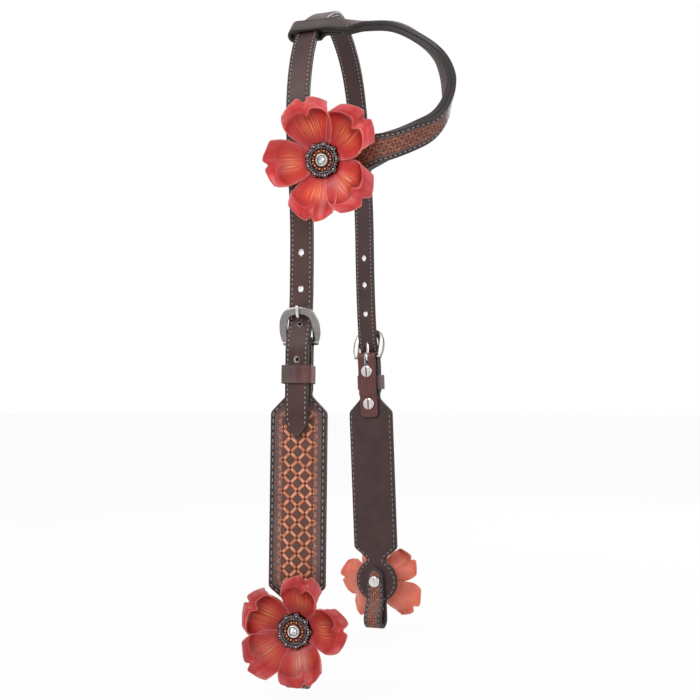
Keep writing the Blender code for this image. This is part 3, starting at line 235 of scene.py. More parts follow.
def spline(points, at):
    """Natural cubic curve through points: its second differences solve one set of linear equations."""
    knots = lengths(points)
    gaps = np.diff(knots)
    count = len(points)
    matrix = np.eye(count)
    inner = np.arange(1, count - 1)
    matrix[inner, inner - 1] = gaps[:-1]
    matrix[inner, inner] = 2 * (gaps[:-1] + gaps[1:])
    matrix[inner, inner + 1] = gaps[1:]
    slopes = np.diff(points, axis=0) / gaps[:, None]
    right = np.zeros_like(points)
    right[1:-1] = 6 * np.diff(slopes, axis=0)
    bends = np.linalg.solve(matrix, right)
    part = np.clip(np.searchsorted(knots, at, side="right") - 1, 0, count - 2)
    gap = gaps[part][:, None]
    low = ((knots[part + 1] - at) / gaps[part])[:, None]
    high = 1 - low
    curve = low * points[part] + high * points[part + 1]
    return curve + ((low ** 3 - low) * bends[part] + (high ** 3 - high) * bends[part + 1]) * gap ** 2 / 6


def along(at, knots, values):
    """Rows of values read at distances, by straight steps between the knots."""
    return np.column_stack([np.interp(at, knots, values[:, axis]) for axis in range(values.shape[1])])


# %% [markdown]
# A skin is a grid of points: rows along a route and columns round a section. Its faces come from the
# grid's numbering alone, so a whole strap is one array of points and one array of corners. The ends of
# an open skin are closed with a strip between the upper and the lower half of the section.


# %% Skin helpers
def grid_faces(rows, columns, row_loop, column_loop):
    """Corners of each face: (r, c), (r, c+1), (r+1, c+1), (r+1, c), wrapped where the grid closes."""
    row = np.arange(rows if row_loop else rows - 1)[:, None]
    column = np.arange(columns if column_loop else columns - 1)[None, :]
    here, there = row * columns, (row + 1) % rows * columns
    after = (column + 1) % columns
    faces = np.stack((here + column, here + after, there + after, there + column), axis=-1)
    return faces.reshape(-1, 4)


def cap_faces(first, columns):
    """Strip that closes one ring: point k of the upper half is joined to its mirror in the lower."""
    upper = np.arange(columns // 2 - 1)
    lower = columns - 1 - upper
    return np.stack((first + upper, first + upper + 1, first + lower - 1, first + lower), axis=-1)


def pole_faces(rows, sides):
    """Triangles that close a turned grid at its two poles, which are numbered after its points."""
    here = np.arange(sides)
    after = (here + 1) % sides
    last = (rows - 1) * sides
    first = np.stack((after, here, np.full(sides, rows * sides)), axis=-1)
    other = np.stack((last + here, last + after, np.full(sides, rows * sides + 1)), axis=-1)
    return np.concatenate((first, other)).tolist()


def outward(mesh):
    """Turns the faces outward: a closed skin's signed volume is positive when they are."""
    points = np.empty(len(mesh.vertices) * 3)
    mesh.vertices.foreach_get("co", points)
    points = points.reshape(-1, 3) - points.reshape(-1, 3).mean(axis=0)
    mesh.calc_loop_triangles()
    corners = np.empty(len(mesh.loop_triangles) * 3, dtype=np.int32)
    mesh.loop_triangles.foreach_get("vertices", corners)
    a, b, c = points[corners.reshape(-1, 3).T]
    if np.einsum("ij,ij->", a, np.cross(b, c)) < 0:
        mesh.flip_normals()
    return mesh


def make_mesh(points, faces, uv=None, dye=None, smooth=True):
    """Closed mesh from an array of points and a list of corners, with a uv and a colour for each point."""
    mesh = bpy.data.meshes.new("skin")
    mesh.from_pydata(np.asarray(points, float).tolist(), [], [list(face) for face in faces])
    if uv is not None:
        corner = np.empty(len(mesh.loops), dtype=np.int32)
        mesh.loops.foreach_get("vertex_index", corner)
        layer = mesh.uv_layers.new(name="strap")
        layer.data.foreach_set("uv", np.asarray(uv, float)[corner].ravel())
    if dye is not None:
        layer = mesh.color_attributes.new("dye", "FLOAT_COLOR", "POINT")
        whole = np.concatenate((dye, np.ones((len(dye), 1))), axis=1)
        layer.data.foreach_set("color", whole.ravel())
    mesh.polygons.foreach_set("use_smooth", np.full(len(mesh.polygons), smooth))
    return outward(mesh)


def add_piece(name, mesh, finishes, body, solid=True):
    """Object of that mesh on a body, standing for the solid of its name where there is one."""
    mesh.name = name
    piece = new_object(name + "_skin", mesh)
    for finish in finishes:
        mesh.materials.append(finish)
    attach(piece, body)
    if solid:
        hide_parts(name)
    print(name, "faces:", len(mesh.polygons))
    return piece


# %% Straps
EDGE_STEPS = 4
EDGE_ROUND = 0.55 * MM


def strap_points(centres, across, out, half, deep, columns, front=None, back=None, every=1):
    """Points, uv and side of a strap: section p = c + v a + w o with rounded edges of quarter circles.

    The uv is the distance along the route and the distance from its middle, in metres. front and back
    give heights that are added on the two faces, as functions of (u, v, half). The back face keeps one
    column in every so many.
    """
    count = len(centres)
    u = lengths(centres)
    half = np.broadcast_to(half, count)[:, None]
    deep = np.broadcast_to(deep, count)[:, None]
    corner = np.minimum(EDGE_ROUND, 0.8 * deep)
    share = np.linspace(-1.0, 1.0, columns)[None, :]
    turn = np.linspace(np.pi, np.pi / 2, EDGE_STEPS, endpoint=False)[None, :]
    left_v = -(half - corner) + corner * np.cos(turn)
    flat_v = share * (half - corner)
    upper_v = np.concatenate((left_v, flat_v, -left_v[:, ::-1]), axis=1)
    edge_w = deep - corner + corner * np.sin(turn)
    flat_w = np.broadcast_to(deep, flat_v.shape)
    upper_w = np.concatenate((edge_w, flat_w, edge_w[:, ::-1]), axis=1)
    lower_w = -upper_w[:, ::-1]
    grain = np.zeros(upper_v.shape[1])
    grain[EDGE_STEPS:-EDGE_STEPS] = 1.0
    u_grid = np.broadcast_to(u[:, None], upper_v.shape)
    if front is not None:
        upper_w = upper_w + front(u_grid, upper_v, half) * grain
    if back is not None:
        lower_w = lower_w - back(u_grid, upper_v[:, ::-1], half) * grain
    inner = np.arange(EDGE_STEPS + 1, len(grain) - EDGE_STEPS - 1)
    keep = np.ones(len(grain), bool)
    keep[inner[inner % every > 0]] = False
    v = np.concatenate((upper_v, upper_v[:, ::-1][:, keep]), axis=1)
    w = np.concatenate((upper_w, lower_w[:, keep]), axis=1)
    points = centres[:, None, :] + v[..., None] * across[:, None, :] + w[..., None] * out[:, None, :]
    side = np.broadcast_to(np.concatenate((grain, -grain[keep])), v.shape)
    uv = np.stack((np.broadcast_to(u[:, None], v.shape), v), axis=-1)
    return points, uv, side, half


def strap_mesh(grid, dye, loop=False):
    """Closed mesh of a strap's points, with its dye worked out from (u, v, side, half).

    An end is closed by a strip where both faces have the same columns, and otherwise by a single face.
    """
    points, uv, side, half = grid
    rows, columns = points.shape[:2]
    faces = grid_faces(rows, columns, loop, True).tolist()
    if not loop:
        last = (rows - 1) * columns
        if (side[0] > 0).sum() == (side[0] < 0).sum():
            faces += cap_faces(0, columns).tolist() + cap_faces(last, columns).tolist()
        else:
            faces += [list(range(columns))[::-1], list(range(last, last + columns))]
    tint = dye(uv[..., 0], uv[..., 1], side, half)
    return make_mesh(points.reshape(-1, 3), faces, uv.reshape(-1, 2), tint.reshape(-1, 3))


def groove(distance, at, wide, deep):
    """Rounded furrow: depth times a bell of the distance from its line."""
    return -deep * np.exp(-((distance - at) / wide) ** 2)


def blend_dye(low, high, share):
    """Dye between two colours: (1 - s) low + s high at each point."""
    share = np.clip(share, 0.0, 1.0)[..., None]
    return np.asarray(low)[..., :3] * (1 - share) + np.asarray(high)[..., :3] * share


# %% [markdown]
# ## Leather
# The dye varies from place to place along a strap, so it is worked out with the shape and kept at the
# mesh's points; on the petals, the keepers and the tooled knife line it also holds painted highlights,
# sheen and shade. The material adds what is the same everywhere: cloudy wear, fine grain and a waxed
# sheen that is less even than paint.


# %% Leather material
def leather(name, roughness, grain, cloud=0.25, grain_size=1300.0, gloss=0.30):
    """Dyed leather: dye times a cloudy noise, pores from a cell pattern as bump, uneven roughness."""
    made, tree, skin = new_material(name)
    place = node(tree, "ShaderNodeTexCoord").outputs["Object"]
    dye = node(tree, "ShaderNodeAttribute", {"attribute_name": "dye"}).outputs["Color"]
    clouds = node(tree, "ShaderNodeTexNoise", None, Vector=place, Scale=55.0, Detail=4.0, Roughness=0.6)
    wear = ranged(tree, clouds.outputs["Fac"], 1 - cloud, 1 + cloud, 0.3, 0.7)
    pores = node(tree, "ShaderNodeTexVoronoi", None, Vector=place, Scale=grain_size, Randomness=1.0)
    speck = ranged(tree, pores.outputs["Distance"], 1.06, 0.90, 0.0, 0.9)
    both = node(tree, "ShaderNodeMath", {"operation": "MULTIPLY"}, i0=wear, i1=speck)
    tint = node(tree, "ShaderNodeCombineColor", None, Red=both.outputs[0], Green=both.outputs[0],
                Blue=both.outputs[0])
    shade = mixed(tree, 1.0, dye, tint.outputs[0], "MULTIPLY")
    tree.links.new(shade, skin.inputs["Base Color"])
    tree.links.new(ranged(tree, clouds.outputs["Fac"], roughness - 0.09, roughness + 0.09, 0.3, 0.7),
                   skin.inputs["Roughness"])
    bump = node(tree, "ShaderNodeBump", None, Strength=grain, Distance=0.0002,
                Height=pores.outputs["Distance"])
    tree.links.new(bump.outputs[0], skin.inputs["Normal"])
    skin.inputs["Specular IOR Level"].default_value = gloss
    return made


STRAP_BROWN = colour(66, 46, 45)
STRAP_WORN = colour(78, 50, 47)
EDGE_BLACK = colour(56, 50, 49)
LINING_BROWN = colour(70, 50, 50)
THREAD = colour(186, 174, 168)

strap_leather = leather("strap_leather", 0.46, 0.25)
lining_leather = leather("lining_leather", 0.58, 0.35)
tooled_leather = leather("tooled_leather", 0.42, 0.15, 0.16)


RIM = 0.9 * MM
WORN_RIM = 1.1 * MM


def edged(grain, side, inward, reach=RIM):
    """Dye that turns black on the rounded edge and within its reach of the outline."""
    return blend_dye(grain, EDGE_BLACK, np.where(side == 0, 1.0, 1 - inward / reach))


def plain_dye(body, worn):
    """Dye of a plain strap: body in the middle, worn brown by broad waves, burnished at its edges."""
    def dye(u, v, side, half):
        """Mixes body and worn by two slow waves, then goes to the edge's colour within its reach."""
        wave = 0.5 + 0.3 * np.sin(u * 61.0 + v * 140.0) + 0.2 * np.sin(u * 23.0 - v * 310.0)
        return edged(blend_dye(body, worn, wave), side, half - np.abs(v), WORN_RIM)
    return dye


# %% [markdown]
# ## Stitching
# Saddle stitching is a thread that dives into a pit, runs under the leather and comes out again. Each
# visible stitch is a small grain lying in a furrow, and each pit a dark dimple between two of them,
# whose dark colour is painted shade standing in for the shade inside the awl's hole.
# All stitches of a strap are one mesh: one small shape repeated along the furrow by array sums.

# %% Stitch shapes
STITCH_PITCH = 3.3 * MM
STITCH_LENGTH = 2.3 * MM
STITCH_RADIUS = 0.36 * MM
STITCH_SUNK = 0.12 * MM
PIT_RADIUS = 0.66 * MM


def grain_shape(length, width, height, rings, sides):
    """Closed grain: x = L/2 cos a, and a blunt section of sin a to the power 0.6 round it."""
    turn = np.linspace(0.0, np.pi, rings + 2)[1:-1]
    round_turn = full_turn(sides)
    girth = np.sin(turn) ** 0.6
    x = np.repeat(np.cos(turn) * length / 2, sides)
    y = (girth[:, None] * np.cos(round_turn)).ravel() * width
    z = (girth[:, None] * np.sin(round_turn)).ravel() * height
    points = np.concatenate((np.column_stack((x, y, z)), ((length / 2, 0, 0), (-length / 2, 0, 0))))
    return points, grid_faces(rings, sides, False, True).tolist() + pole_faces(rings, sides)


def repeat_shape(points, faces, places, forward, sideways, up):
    """A shape at each place: p = c + x f + y s + z n, as one array, with its faces renumbered."""
    all_points = (places[:, None, :] + points[None, :, :1] * forward[:, None, :]
                  + points[None, :, 1:2] * sideways[:, None, :] + points[None, :, 2:] * up[:, None, :])
    shift = np.arange(len(places)) * len(points)
    all_faces = [[corner + step for corner in face] for step in shift.tolist() for face in faces]
    return all_points.reshape(-1, 3), all_faces


def fibrous(name, low, high, roughness, scale, detail):
    """Finish whose colour goes from low to high by a fine noise."""
    made, tree, skin = new_material(name)
    place = node(tree, "ShaderNodeTexCoord").outputs["Object"]
    fibres = node(tree, "ShaderNodeTexNoise", None, Vector=place, Scale=scale, Detail=detail)
    tree.links.new(mixed(tree, fibres.outputs["Fac"], low, high), skin.inputs["Base Color"])
    skin.inputs["Roughness"].default_value = roughness
    return made


thread_finish = fibrous("waxed_thread", colour(120, 108, 104), THREAD, 0.55, 2600.0, 3.0)
# Painted shade: the pits are dark grains that stand for the shade inside the awl's holes.
pit_shade_finish = fibrous("awl_pit_painted_shade", colour(22, 15, 14), colour(38, 26, 23), 0.85, 2200.0, 2.0)


def stitch_seams(name, seams, body, pitch=STITCH_PITCH, length=STITCH_LENGTH):
    """One mesh of the stitches and pits along seams, each a row of points with the outward normals."""
    grain = grain_shape(length, STITCH_RADIUS, STITCH_RADIUS, 4, 6)
    pit = grain_shape(2 * PIT_RADIUS, PIT_RADIUS, STITCH_RADIUS * 0.5, 2, 6)
    points, faces, kinds = [], [], []
    for path, facing in seams:
        knots = lengths(path)
        count = int((knots[-1] - length) / pitch)
        start = (knots[-1] - (count - 1) * pitch) / 2
        for shape, shift, number, kind in ((grain, 0.0, count, 0), (pit, pitch / 2, count - 1, 1)):
            at = start + shift + np.arange(max(number, 0)) * pitch
            ahead = unit(along(at + pitch / 4, knots, path) - along(at - pitch / 4, knots, path))
            up = unit(along(at, knots, facing))
            sideways = unit(np.cross(up, ahead))
            made, corners = repeat_shape(*shape, along(at, knots, path), ahead, sideways, up)
            base = sum(len(block) for block in points)
            points.append(made)
            faces += [[corner + base for corner in face] for face in corners]
            kinds += [kind] * len(corners)
    mesh = make_mesh(np.concatenate(points), faces)
    mesh.polygons.foreach_set("material_index", kinds)
    add_piece(name, mesh, (thread_finish, pit_shade_finish), body, solid=False)

# %% [markdown]
# ## The two cheeks' places
# Each cheek is worked out once, in its own frame: origin on the buckle's bar, x across, y away from the
# horse, z up. The near one is turned half round about the head, the far one leans and swings a little.

# %% Sides
HEAD_WIDTH = 0.186
CROWN_DROP = 0.245
LEAN = math.radians(2.3)


def side_frame(turn, swing, share):
    """Matrix and place of a cheek: R = Rz(turn) times R(lean, swing)."""
    matrix = Euler((0, 0, turn)).to_matrix() @ Euler((LEAN, swing, 0)).to_matrix()
    return np.array(matrix), np.array((0.0, share * HEAD_WIDTH, -CROWN_DROP))


SIDES = {"near": side_frame(math.radians(180.0), 0.0, -0.4973),
         "far": side_frame(math.radians(-10.0), math.radians(-1.25), 0.5027)}
HOLE_IN_USE = {"near": 1, "far": 0}


def to_world(side, points):
    """p' = R p + c for every row of points."""
    matrix, place = SIDES[side]
    return np.asarray(points, float) @ matrix.T + place


def turn_world(side, directions):
    """d' = R d for every row of directions."""
    return np.asarray(directions, float) @ SIDES[side][0].T


print("near bar at", SIDES["near"][1].round(4), "far bar at", SIDES["far"][1].round(4))

# %% [markdown]
# ## Crown strap
# Two leathers, 5/8 in wide, sewn back to back along both edges. It runs from one pointed end, through
# the near buckle, over the poll and down to the other end. It could be a curve with a bevel, but a
# bevelled curve has no stitched edge or twist of its own, so the section is carried along the route.

# %% Crown sizes
FIT = 0.3 * MM
CROWN_WIDTH = 16 * MM
CROWN_FACE = 1.8 * MM
CROWN_LINING = 1.5 * MM
CROWN_TIP_LENGTH = 11.5 * MM
CROWN_TIP_WIDTH = 3.2 * MM
CROWN_TIP = ((0.0, 0.0), (0.17, 0.26), (0.43, 0.62), (0.70, 0.87), (1.0, 1.0))
CROWN_ARCH = (
    (-0.492, -0.612), (-0.522, -0.469), (-0.527, -0.359), (-0.487, -0.229), (-0.387, -0.114),
    (-0.242, -0.037), (-0.073, 0.010), (0.081, -0.014), (0.226, -0.078), (0.323, -0.184),
    (0.393, -0.327), (0.452, -0.510), (0.474, -0.694))
CONTROL_STEP = 8.5 * MM
HOLE_PITCH = 24.6 * MM
HOLE_TO_TIP = 50 * MM
HOLE_RADIUS = 1.75 * MM
HOLE_COUNT = 4
BAR_RADIUS = 1.65 * MM
CHEEK_FACE = 2.0 * MM
POST_HEAD = 1.0 * MM
POST_HEAD_RADIUS = 4.9 * MM
UPPER_SCREW = 12.1 * MM
LOWER_SCREW = 39.6 * MM
BUCKLE_INNER = 17.3 * MM
BUCKLE_BAND = 5.6 * MM
BUCKLE_THICKNESS = 2.6 * MM
BUCKLE_RISE = 20.8 * MM
SPRING_SHARE = 0.36
ARCH_POWER = 2.8
EDGE_SHARE = 0.5
BUCKLE_TILT = math.radians(18.0)
TONGUE_HOLE = 11.8 * MM

crown_thick = CROWN_FACE + FIT + CROWN_LINING
fold_inner = BAR_RADIUS + FIT
face_front = fold_inner + CHEEK_FACE
crown_flat = face_front + FIT + crown_thick / 2
crown_rest = face_front + FIT + POST_HEAD + FIT + crown_thick / 2
crown_bar = face_front + POST_HEAD + crown_thick / 2
spring = BUCKLE_RISE * SPRING_SHARE
arch_rise = (BUCKLE_RISE - BUCKLE_BAND / 2) / math.cos(BUCKLE_TILT) - spring
arch_edge = (CROWN_WIDTH / BUCKLE_INNER) ** ARCH_POWER
arch_corner = spring + arch_rise * (1 - arch_edge) ** (1 / ARCH_POWER) - POST_HEAD
band_under = BUCKLE_THICKNESS * EDGE_SHARE / 2 / math.cos(BUCKLE_TILT)
crown_at_band = arch_corner * math.sin(BUCKLE_TILT) - band_under - FIT - crown_thick / 2
print("crown:", round(crown_thick / MM, 2), "mm thick, rests", round(crown_rest / MM, 2), "mm out")


# %% Crown route
def crown_depth(height):
    """How far out the crown lies at a height: flat on the blade, over the screws, under the band."""
    low = -LOWER_SCREW - POST_HEAD_RADIUS
    high = -UPPER_SCREW + POST_HEAD_RADIUS
    knots = (low - 2 * POST_HEAD_RADIUS, low - FIT, high + FIT, 0.0, arch_corner * math.cos(BUCKLE_TILT),
             2 * BUCKLE_RISE)
    return glide(height, knots, (crown_flat, crown_rest, crown_rest, crown_bar, crown_at_band, 0.0))


def crown_end(side):
    """Measured points of one end, from its tip up through the buckle."""
    tip = TONGUE_HOLE - HOLE_TO_TIP - HOLE_IN_USE[side] * HOLE_PITCH
    heights = np.arange(tip, 2 * BUCKLE_RISE + CONTROL_STEP, CONTROL_STEP)
    return to_world(side, np.column_stack((np.zeros_like(heights), crown_depth(heights), heights)))


def crown_route():
    """Both ends and the arch between, lowered until the underside at the poll is on the origin."""
    near, far = crown_end("near"), crown_end("far")[::-1]
    share = np.array(CROWN_ARCH)
    drift = np.linspace(near[-1, 0], far[0, 0], len(share) + 2)[1:-1]
    arch = np.column_stack((drift, share[:, 0] * HEAD_WIDTH, share[:, 1] * CROWN_DROP))
    for _ in range(2):
        points = np.concatenate((near, arch, far))
        fine = spline(points, np.linspace(0.0, lengths(points)[-1], 50 * len(points)))
        upper = fine[fine[:, 2] > -CROWN_DROP / 3]
        arch[3:-3, 2] -= np.interp(0.0, upper[:, 1], upper[:, 2]) - crown_thick / 2
    return np.concatenate((near, arch, far)), len(near), len(far)


CROWN_STEP = 1.4 * MM

control, near_count, far_count = crown_route()
knots = lengths(control)
crown_at = np.unique(np.concatenate((np.arange(0.0, knots[-1], CROWN_STEP), (knots[-1],))))
crown_centres = spline(control, crown_at)
share = glide(crown_at, (0.0, knots[near_count - 1], knots[-far_count], knots[-1]), (0, 0, 1, 1))[:, None]
crown_across = unit(turn_world("near", ((1, 0, 0),)) * (1 - share)
                    + turn_world("far", ((-1, 0, 0),)) * share)
crown_out = unit(np.cross(unit(np.gradient(crown_centres, axis=0)), crown_across))
taper = np.array(CROWN_TIP)
grow = glide(np.minimum(crown_at, knots[-1] - crown_at), taper[:, 0] * CROWN_TIP_LENGTH, taper[:, 1])
crown_half = (CROWN_TIP_WIDTH + (CROWN_WIDTH - CROWN_TIP_WIDTH) * grow) / 2
print("crown strap:", round(knots[-1], 4), "m long")

# %% Crown leathers
SEAM_IN = 1.9 * MM
CREASE_IN = 3.0 * MM
STRAP_COLUMNS = 47
STITCHED_FROM = 0.32


def seam_relief(u, v, half):
    """A furrow for the stitches along the edge and a fine crease line inside it."""
    inward = half - np.abs(v)
    return groove(inward, SEAM_IN, 0.42 * MM, 0.20 * MM) + groove(inward, CREASE_IN, 0.20 * MM, 0.07 * MM)


def strap_piece(name, frames, columns, dye, finish, body, slot, **relief):
    """One leather: its section along frames of centre, across, out, half width and half depth."""
    mesh = strap_mesh(strap_points(*frames, columns, **relief), dye)
    return add_piece(name, mesh, (finish,), body)


crown_front = (crown_centres + crown_out * (crown_thick - CROWN_FACE) / 2, crown_across, crown_out,
               crown_half, CROWN_FACE / 2)
crown_back = (crown_centres - crown_out * (crown_thick - CROWN_LINING) / 2, crown_across, crown_out,
              crown_half, CROWN_LINING / 2)
crown_face = strap_piece(
    "crown_face", crown_front, STRAP_COLUMNS, plain_dye(STRAP_BROWN, STRAP_WORN), strap_leather,
    "straps", "dark_leather", front=seam_relief)
crown_lining = strap_piece(
    "crown_lining", crown_back, STRAP_COLUMNS, plain_dye(LINING_BROWN, LINING_BROWN), lining_leather,
    "straps", "lining_leather", back=seam_relief)


# %% Crown stitching
def edge_seams(frames, chosen, way):
    """Both edges' rows on one face: c + sign (half - inward) a + lift o, with the normals to them."""
    centres, across, out = (block[chosen] for block in frames[:3])
    half, deep = (np.broadcast_to(block, len(chosen))[chosen] for block in frames[3:])
    lift = way * (deep - STITCH_SUNK)[:, None]
    return [(centres + across * (sign * (half - SEAM_IN))[:, None] + out * lift, out * way)
            for sign in (-1, 1)]


full = crown_half > CROWN_WIDTH * STITCHED_FROM
seams = edge_seams(crown_front, full, 1) + edge_seams(crown_back, full, -1)
stitch_seams("crown_stitches", seams, "straps")

# %% [markdown]
# The strap's free ends have punched holes, and the buckle's tongue stands in one of them. A hole is cut
# with a round bar by a Boolean, which is applied at once so that the finished mesh is what is kept.

# %% Crown holes
TONGUE_RADIUS = 1.1 * MM
TONGUE_EYE = BAR_RADIUS + 0.15 * MM + TONGUE_RADIUS
TONGUE_TIP = BUCKLE_RISE + 3.2 * MM
TONGUE_ON_BAND = 0.28
TONGUE_ROOM = 0.35 * MM
TONGUE_SWING = math.radians(5.0)
SLIT_REACH = 6.5 * MM
PUNCH_REACH = 5 * MM
PUNCH_SIDES = 20


def tube(centres, across, half_across, half_out, out, sides):
    """Round rod along a route: p = c + cos t a h + sin t o k, closed with strips at its ends."""
    turn = np.pi - full_turn(sides, 0.5)
    wide = np.broadcast_to(half_across, len(centres))[:, None, None]
    deep = np.broadcast_to(half_out, len(centres))[:, None, None]
    return (centres[:, None, :] + np.cos(turn)[None, :, None] * wide * across[:, None, :]
            + np.sin(turn)[None, :, None] * deep * out[:, None, :])


def prism(corners, low, high):
    """Straight bar as two rings: a section at one height and the same at another."""
    return np.stack([np.column_stack((corners, np.full(len(corners), z))) for z in (low, high)])


def closed_rings(rings, base=0):
    """Faces of an open-ended skin and of the strips that close it."""
    rows, columns = rings.shape[:2]
    faces = grid_faces(rows, columns, False, True)
    caps = np.concatenate((cap_faces(0, columns), cap_faces((rows - 1) * columns, columns)))
    return (np.concatenate((faces, caps)) + base).tolist()


def joined(skins):
    """Points and faces of several closed skins, numbered one after the other."""
    points = [rings.reshape(-1, 3) for rings in skins]
    starts = np.cumsum([0] + [len(block) for block in points])
    faces = [face for rings, start in zip(skins, starts) for face in closed_rings(rings, start)]
    return np.concatenate(points), faces


def apply_modifiers(piece):
    """Keeps the mesh that the modifiers make and takes the modifiers off."""
    graph = bpy.context.evaluated_depsgraph_get()
    final = bpy.data.meshes.new_from_object(piece.evaluated_get(graph), depsgraph=graph,
                                            preserve_all_data_layers=True)
    piece.modifiers.clear()
    piece.data = final


def carve(pieces, rods):
    """Cuts the rods out of each piece and removes the tool."""
    mesh = make_mesh(*joined(rods), smooth=False)
    tool = new_object("tool", mesh)
    for piece in pieces:
        change = piece.modifiers.new("cut", "BOOLEAN")
        change.object = tool
        change.solver = "EXACT"
        apply_modifiers(piece)
        print(piece.name, "after cutting:", len(piece.data.polygons))
    bpy.data.objects.remove(tool)
    bpy.data.meshes.remove(mesh)


# %% Holes and the tongue's slit
def tongue_stem(heights):
    """Middle of the tongue at some heights, from its eye through the hole and onto the band.

    With it come the x axis and the outward normal at each height.
    """
    lift = BUCKLE_THICKNESS / 2 / math.cos(BUCKLE_TILT) + FIT + TONGUE_RADIUS
    low = BUCKLE_RISE - BUCKLE_BAND / 2
    top = BUCKLE_RISE + BUCKLE_BAND * TONGUE_ON_BAND
    rise = math.tan(BUCKLE_TILT)
    values = (0.0, float(crown_depth(TONGUE_HOLE)[0]), rise * low + lift + 0.5 * FIT, rise * top + lift,
              rise * top + lift + FIT)
    depths = glide(heights, (TONGUE_EYE, TONGUE_HOLE, low, top, TONGUE_TIP), values)
    stem = np.column_stack((np.zeros_like(heights), depths, heights))
    x_axis = np.tile((1.0, 0.0, 0.0), (len(stem), 1))
    return stem, x_axis, unit(np.cross(unit(np.gradient(stem, axis=0)), x_axis))


def tongue_slit():
    """Tool for the hole in use: a rod along the tongue, wide enough for its swing."""
    stem, x_axis, out = tongue_stem(TONGUE_HOLE + np.linspace(-SLIT_REACH, SLIT_REACH, 24))
    swing = np.linalg.norm(stem, axis=1) * TONGUE_SWING
    room = TONGUE_RADIUS + TONGUE_ROOM
    return tube(stem + out * swing[:, None] / 2, x_axis, room, room + swing / 2, out, PUNCH_SIDES)


rods = []
for side, (matrix, place) in SIDES.items():
    local, local_out = (crown_centres - place) @ matrix, crown_out @ matrix
    here = (np.abs(local[:, 1]) < HEAD_WIDTH / 4) & (local[:, 2] < 4 * BUCKLE_RISE)
    order = np.argsort(local[here, 2])
    middle, facing = local[here][order], local_out[here][order]
    run = lengths(middle)
    steps = np.arange(HOLE_COUNT) - HOLE_IN_USE[side]
    at = np.interp(TONGUE_HOLE, middle[:, 2], run) + steps * HOLE_PITCH
    for step, spot, way in zip(steps, along(at, run, middle), unit(along(at, run, facing))):
        if step:
            ends = np.stack((spot - way * PUNCH_REACH, spot + way * PUNCH_REACH))
            x_axis = np.tile((1.0, 0.0, 0.0), (2, 1))
            rings = tube(ends, x_axis, HOLE_RADIUS, HOLE_RADIUS, np.cross(way, x_axis), PUNCH_SIDES)
        else:
            rings = tongue_slit()
        rods.append(to_world(side, rings))
carve((crown_face, crown_lining), rods)

# %% [markdown]
# ## Cheek leather
# The cheek's front is tooled by hand: a swivel knife cuts the border, a basket stamp is struck in rows
# at 45 degrees, half-round stamps close its edge and the ground is matted. The whole relief is a height
# worked out from the place on the strap. An image would need a file, and bump alone leaves it flat.

# %% Cheek sizes
CHEEK_LINING = 1.6 * MM
CHEEK_SKIVE = 0.1 * MM
CHAPE_TAIL = 1.6 * MM
FOLD_WIDTH = 16.4 * MM
NECK_WIDTH = 17.5 * MM
CHAPE_END = 51 * MM
CHAPE_TAIL_WIDTH = 16.2 * MM
CHAPE_CORNER = 3 * MM
LINING_TOP = 2.3 * MM
LOWER_CORNER = 163 * MM
FLARE_CENTRE = 191 * MM
FLARE_RADIUS = 18.5 * MM
BIT_STRAP_WIDTH = 15.5 * MM
BIT_LOOP_DROP = 222.5 * MM
BIT_LOOP_BORE = 4.0 * MM
BIT_LOOP_CLOSE = 19.5 * MM
BIT_TIP = 178.7 * MM
BIT_TIP_TAPER = 8 * MM
BIT_TIP_WIDTH = 3 * MM
BIT_TAIL_FACE = 1.8 * MM
BIT_TAIL_LINING = 1.3 * MM
KEEPER = 1.4 * MM
KEEPER_TOP = 15.5 * MM
KEEPER_HEIGHT = 12.3 * MM
KEEPER_DROP = 3 * MM
WIDTH_KNOTS = np.array((0.0, 8.0, 35.6, 46.5, 163.0, 172.0, 191.0)) * MM
WIDTHS = np.array((16.4, 17.5, 17.5, 39.0, 39.0, 16.0, 15.5)) * MM
CHEEK_STEP = 0.51 * MM
TAIL_FROM = 6.5 * MM
FOLD_ROWS = 26
CORNER_SOFT = 1.6 * MM

lining_back = fold_inner - FIT - CHEEK_LINING
tail_high = lining_back - FIT - KEEPER - FIT - CHAPE_TAIL / 2
tail_low = lining_back - FIT - CHAPE_TAIL / 2
bit_lining_y = lining_back - FIT - BIT_TAIL_LINING / 2
bit_face_y = bit_lining_y - BIT_TAIL_LINING / 2 - FIT - BIT_TAIL_FACE / 2
loop_y = lining_back - BIT_LOOP_BORE
face_y = fold_inner + CHEEK_FACE / 2
bit_back = bit_face_y - BIT_TAIL_FACE / 2


def cheek_half(drop):
    """Half the cheek's width below the bar: straight runs or the flare's circle, corners softened."""
    spread = np.linspace(-CORNER_SOFT, CORNER_SOFT, 9)
    at = np.maximum(np.asarray(drop)[..., None] + spread, 0.0)
    flare = np.sqrt(np.maximum(FLARE_RADIUS ** 2 - (at - FLARE_CENTRE) ** 2, 0.0))
    return np.maximum(np.interp(at, WIDTH_KNOTS, WIDTHS) / 2, flare).mean(axis=-1)


def stations(y, z, half, deep):
    """Rows of a cheek's leather: y, z, half width and half depth, with single values repeated."""
    return np.column_stack(np.broadcast_arrays(y, z, half, deep))


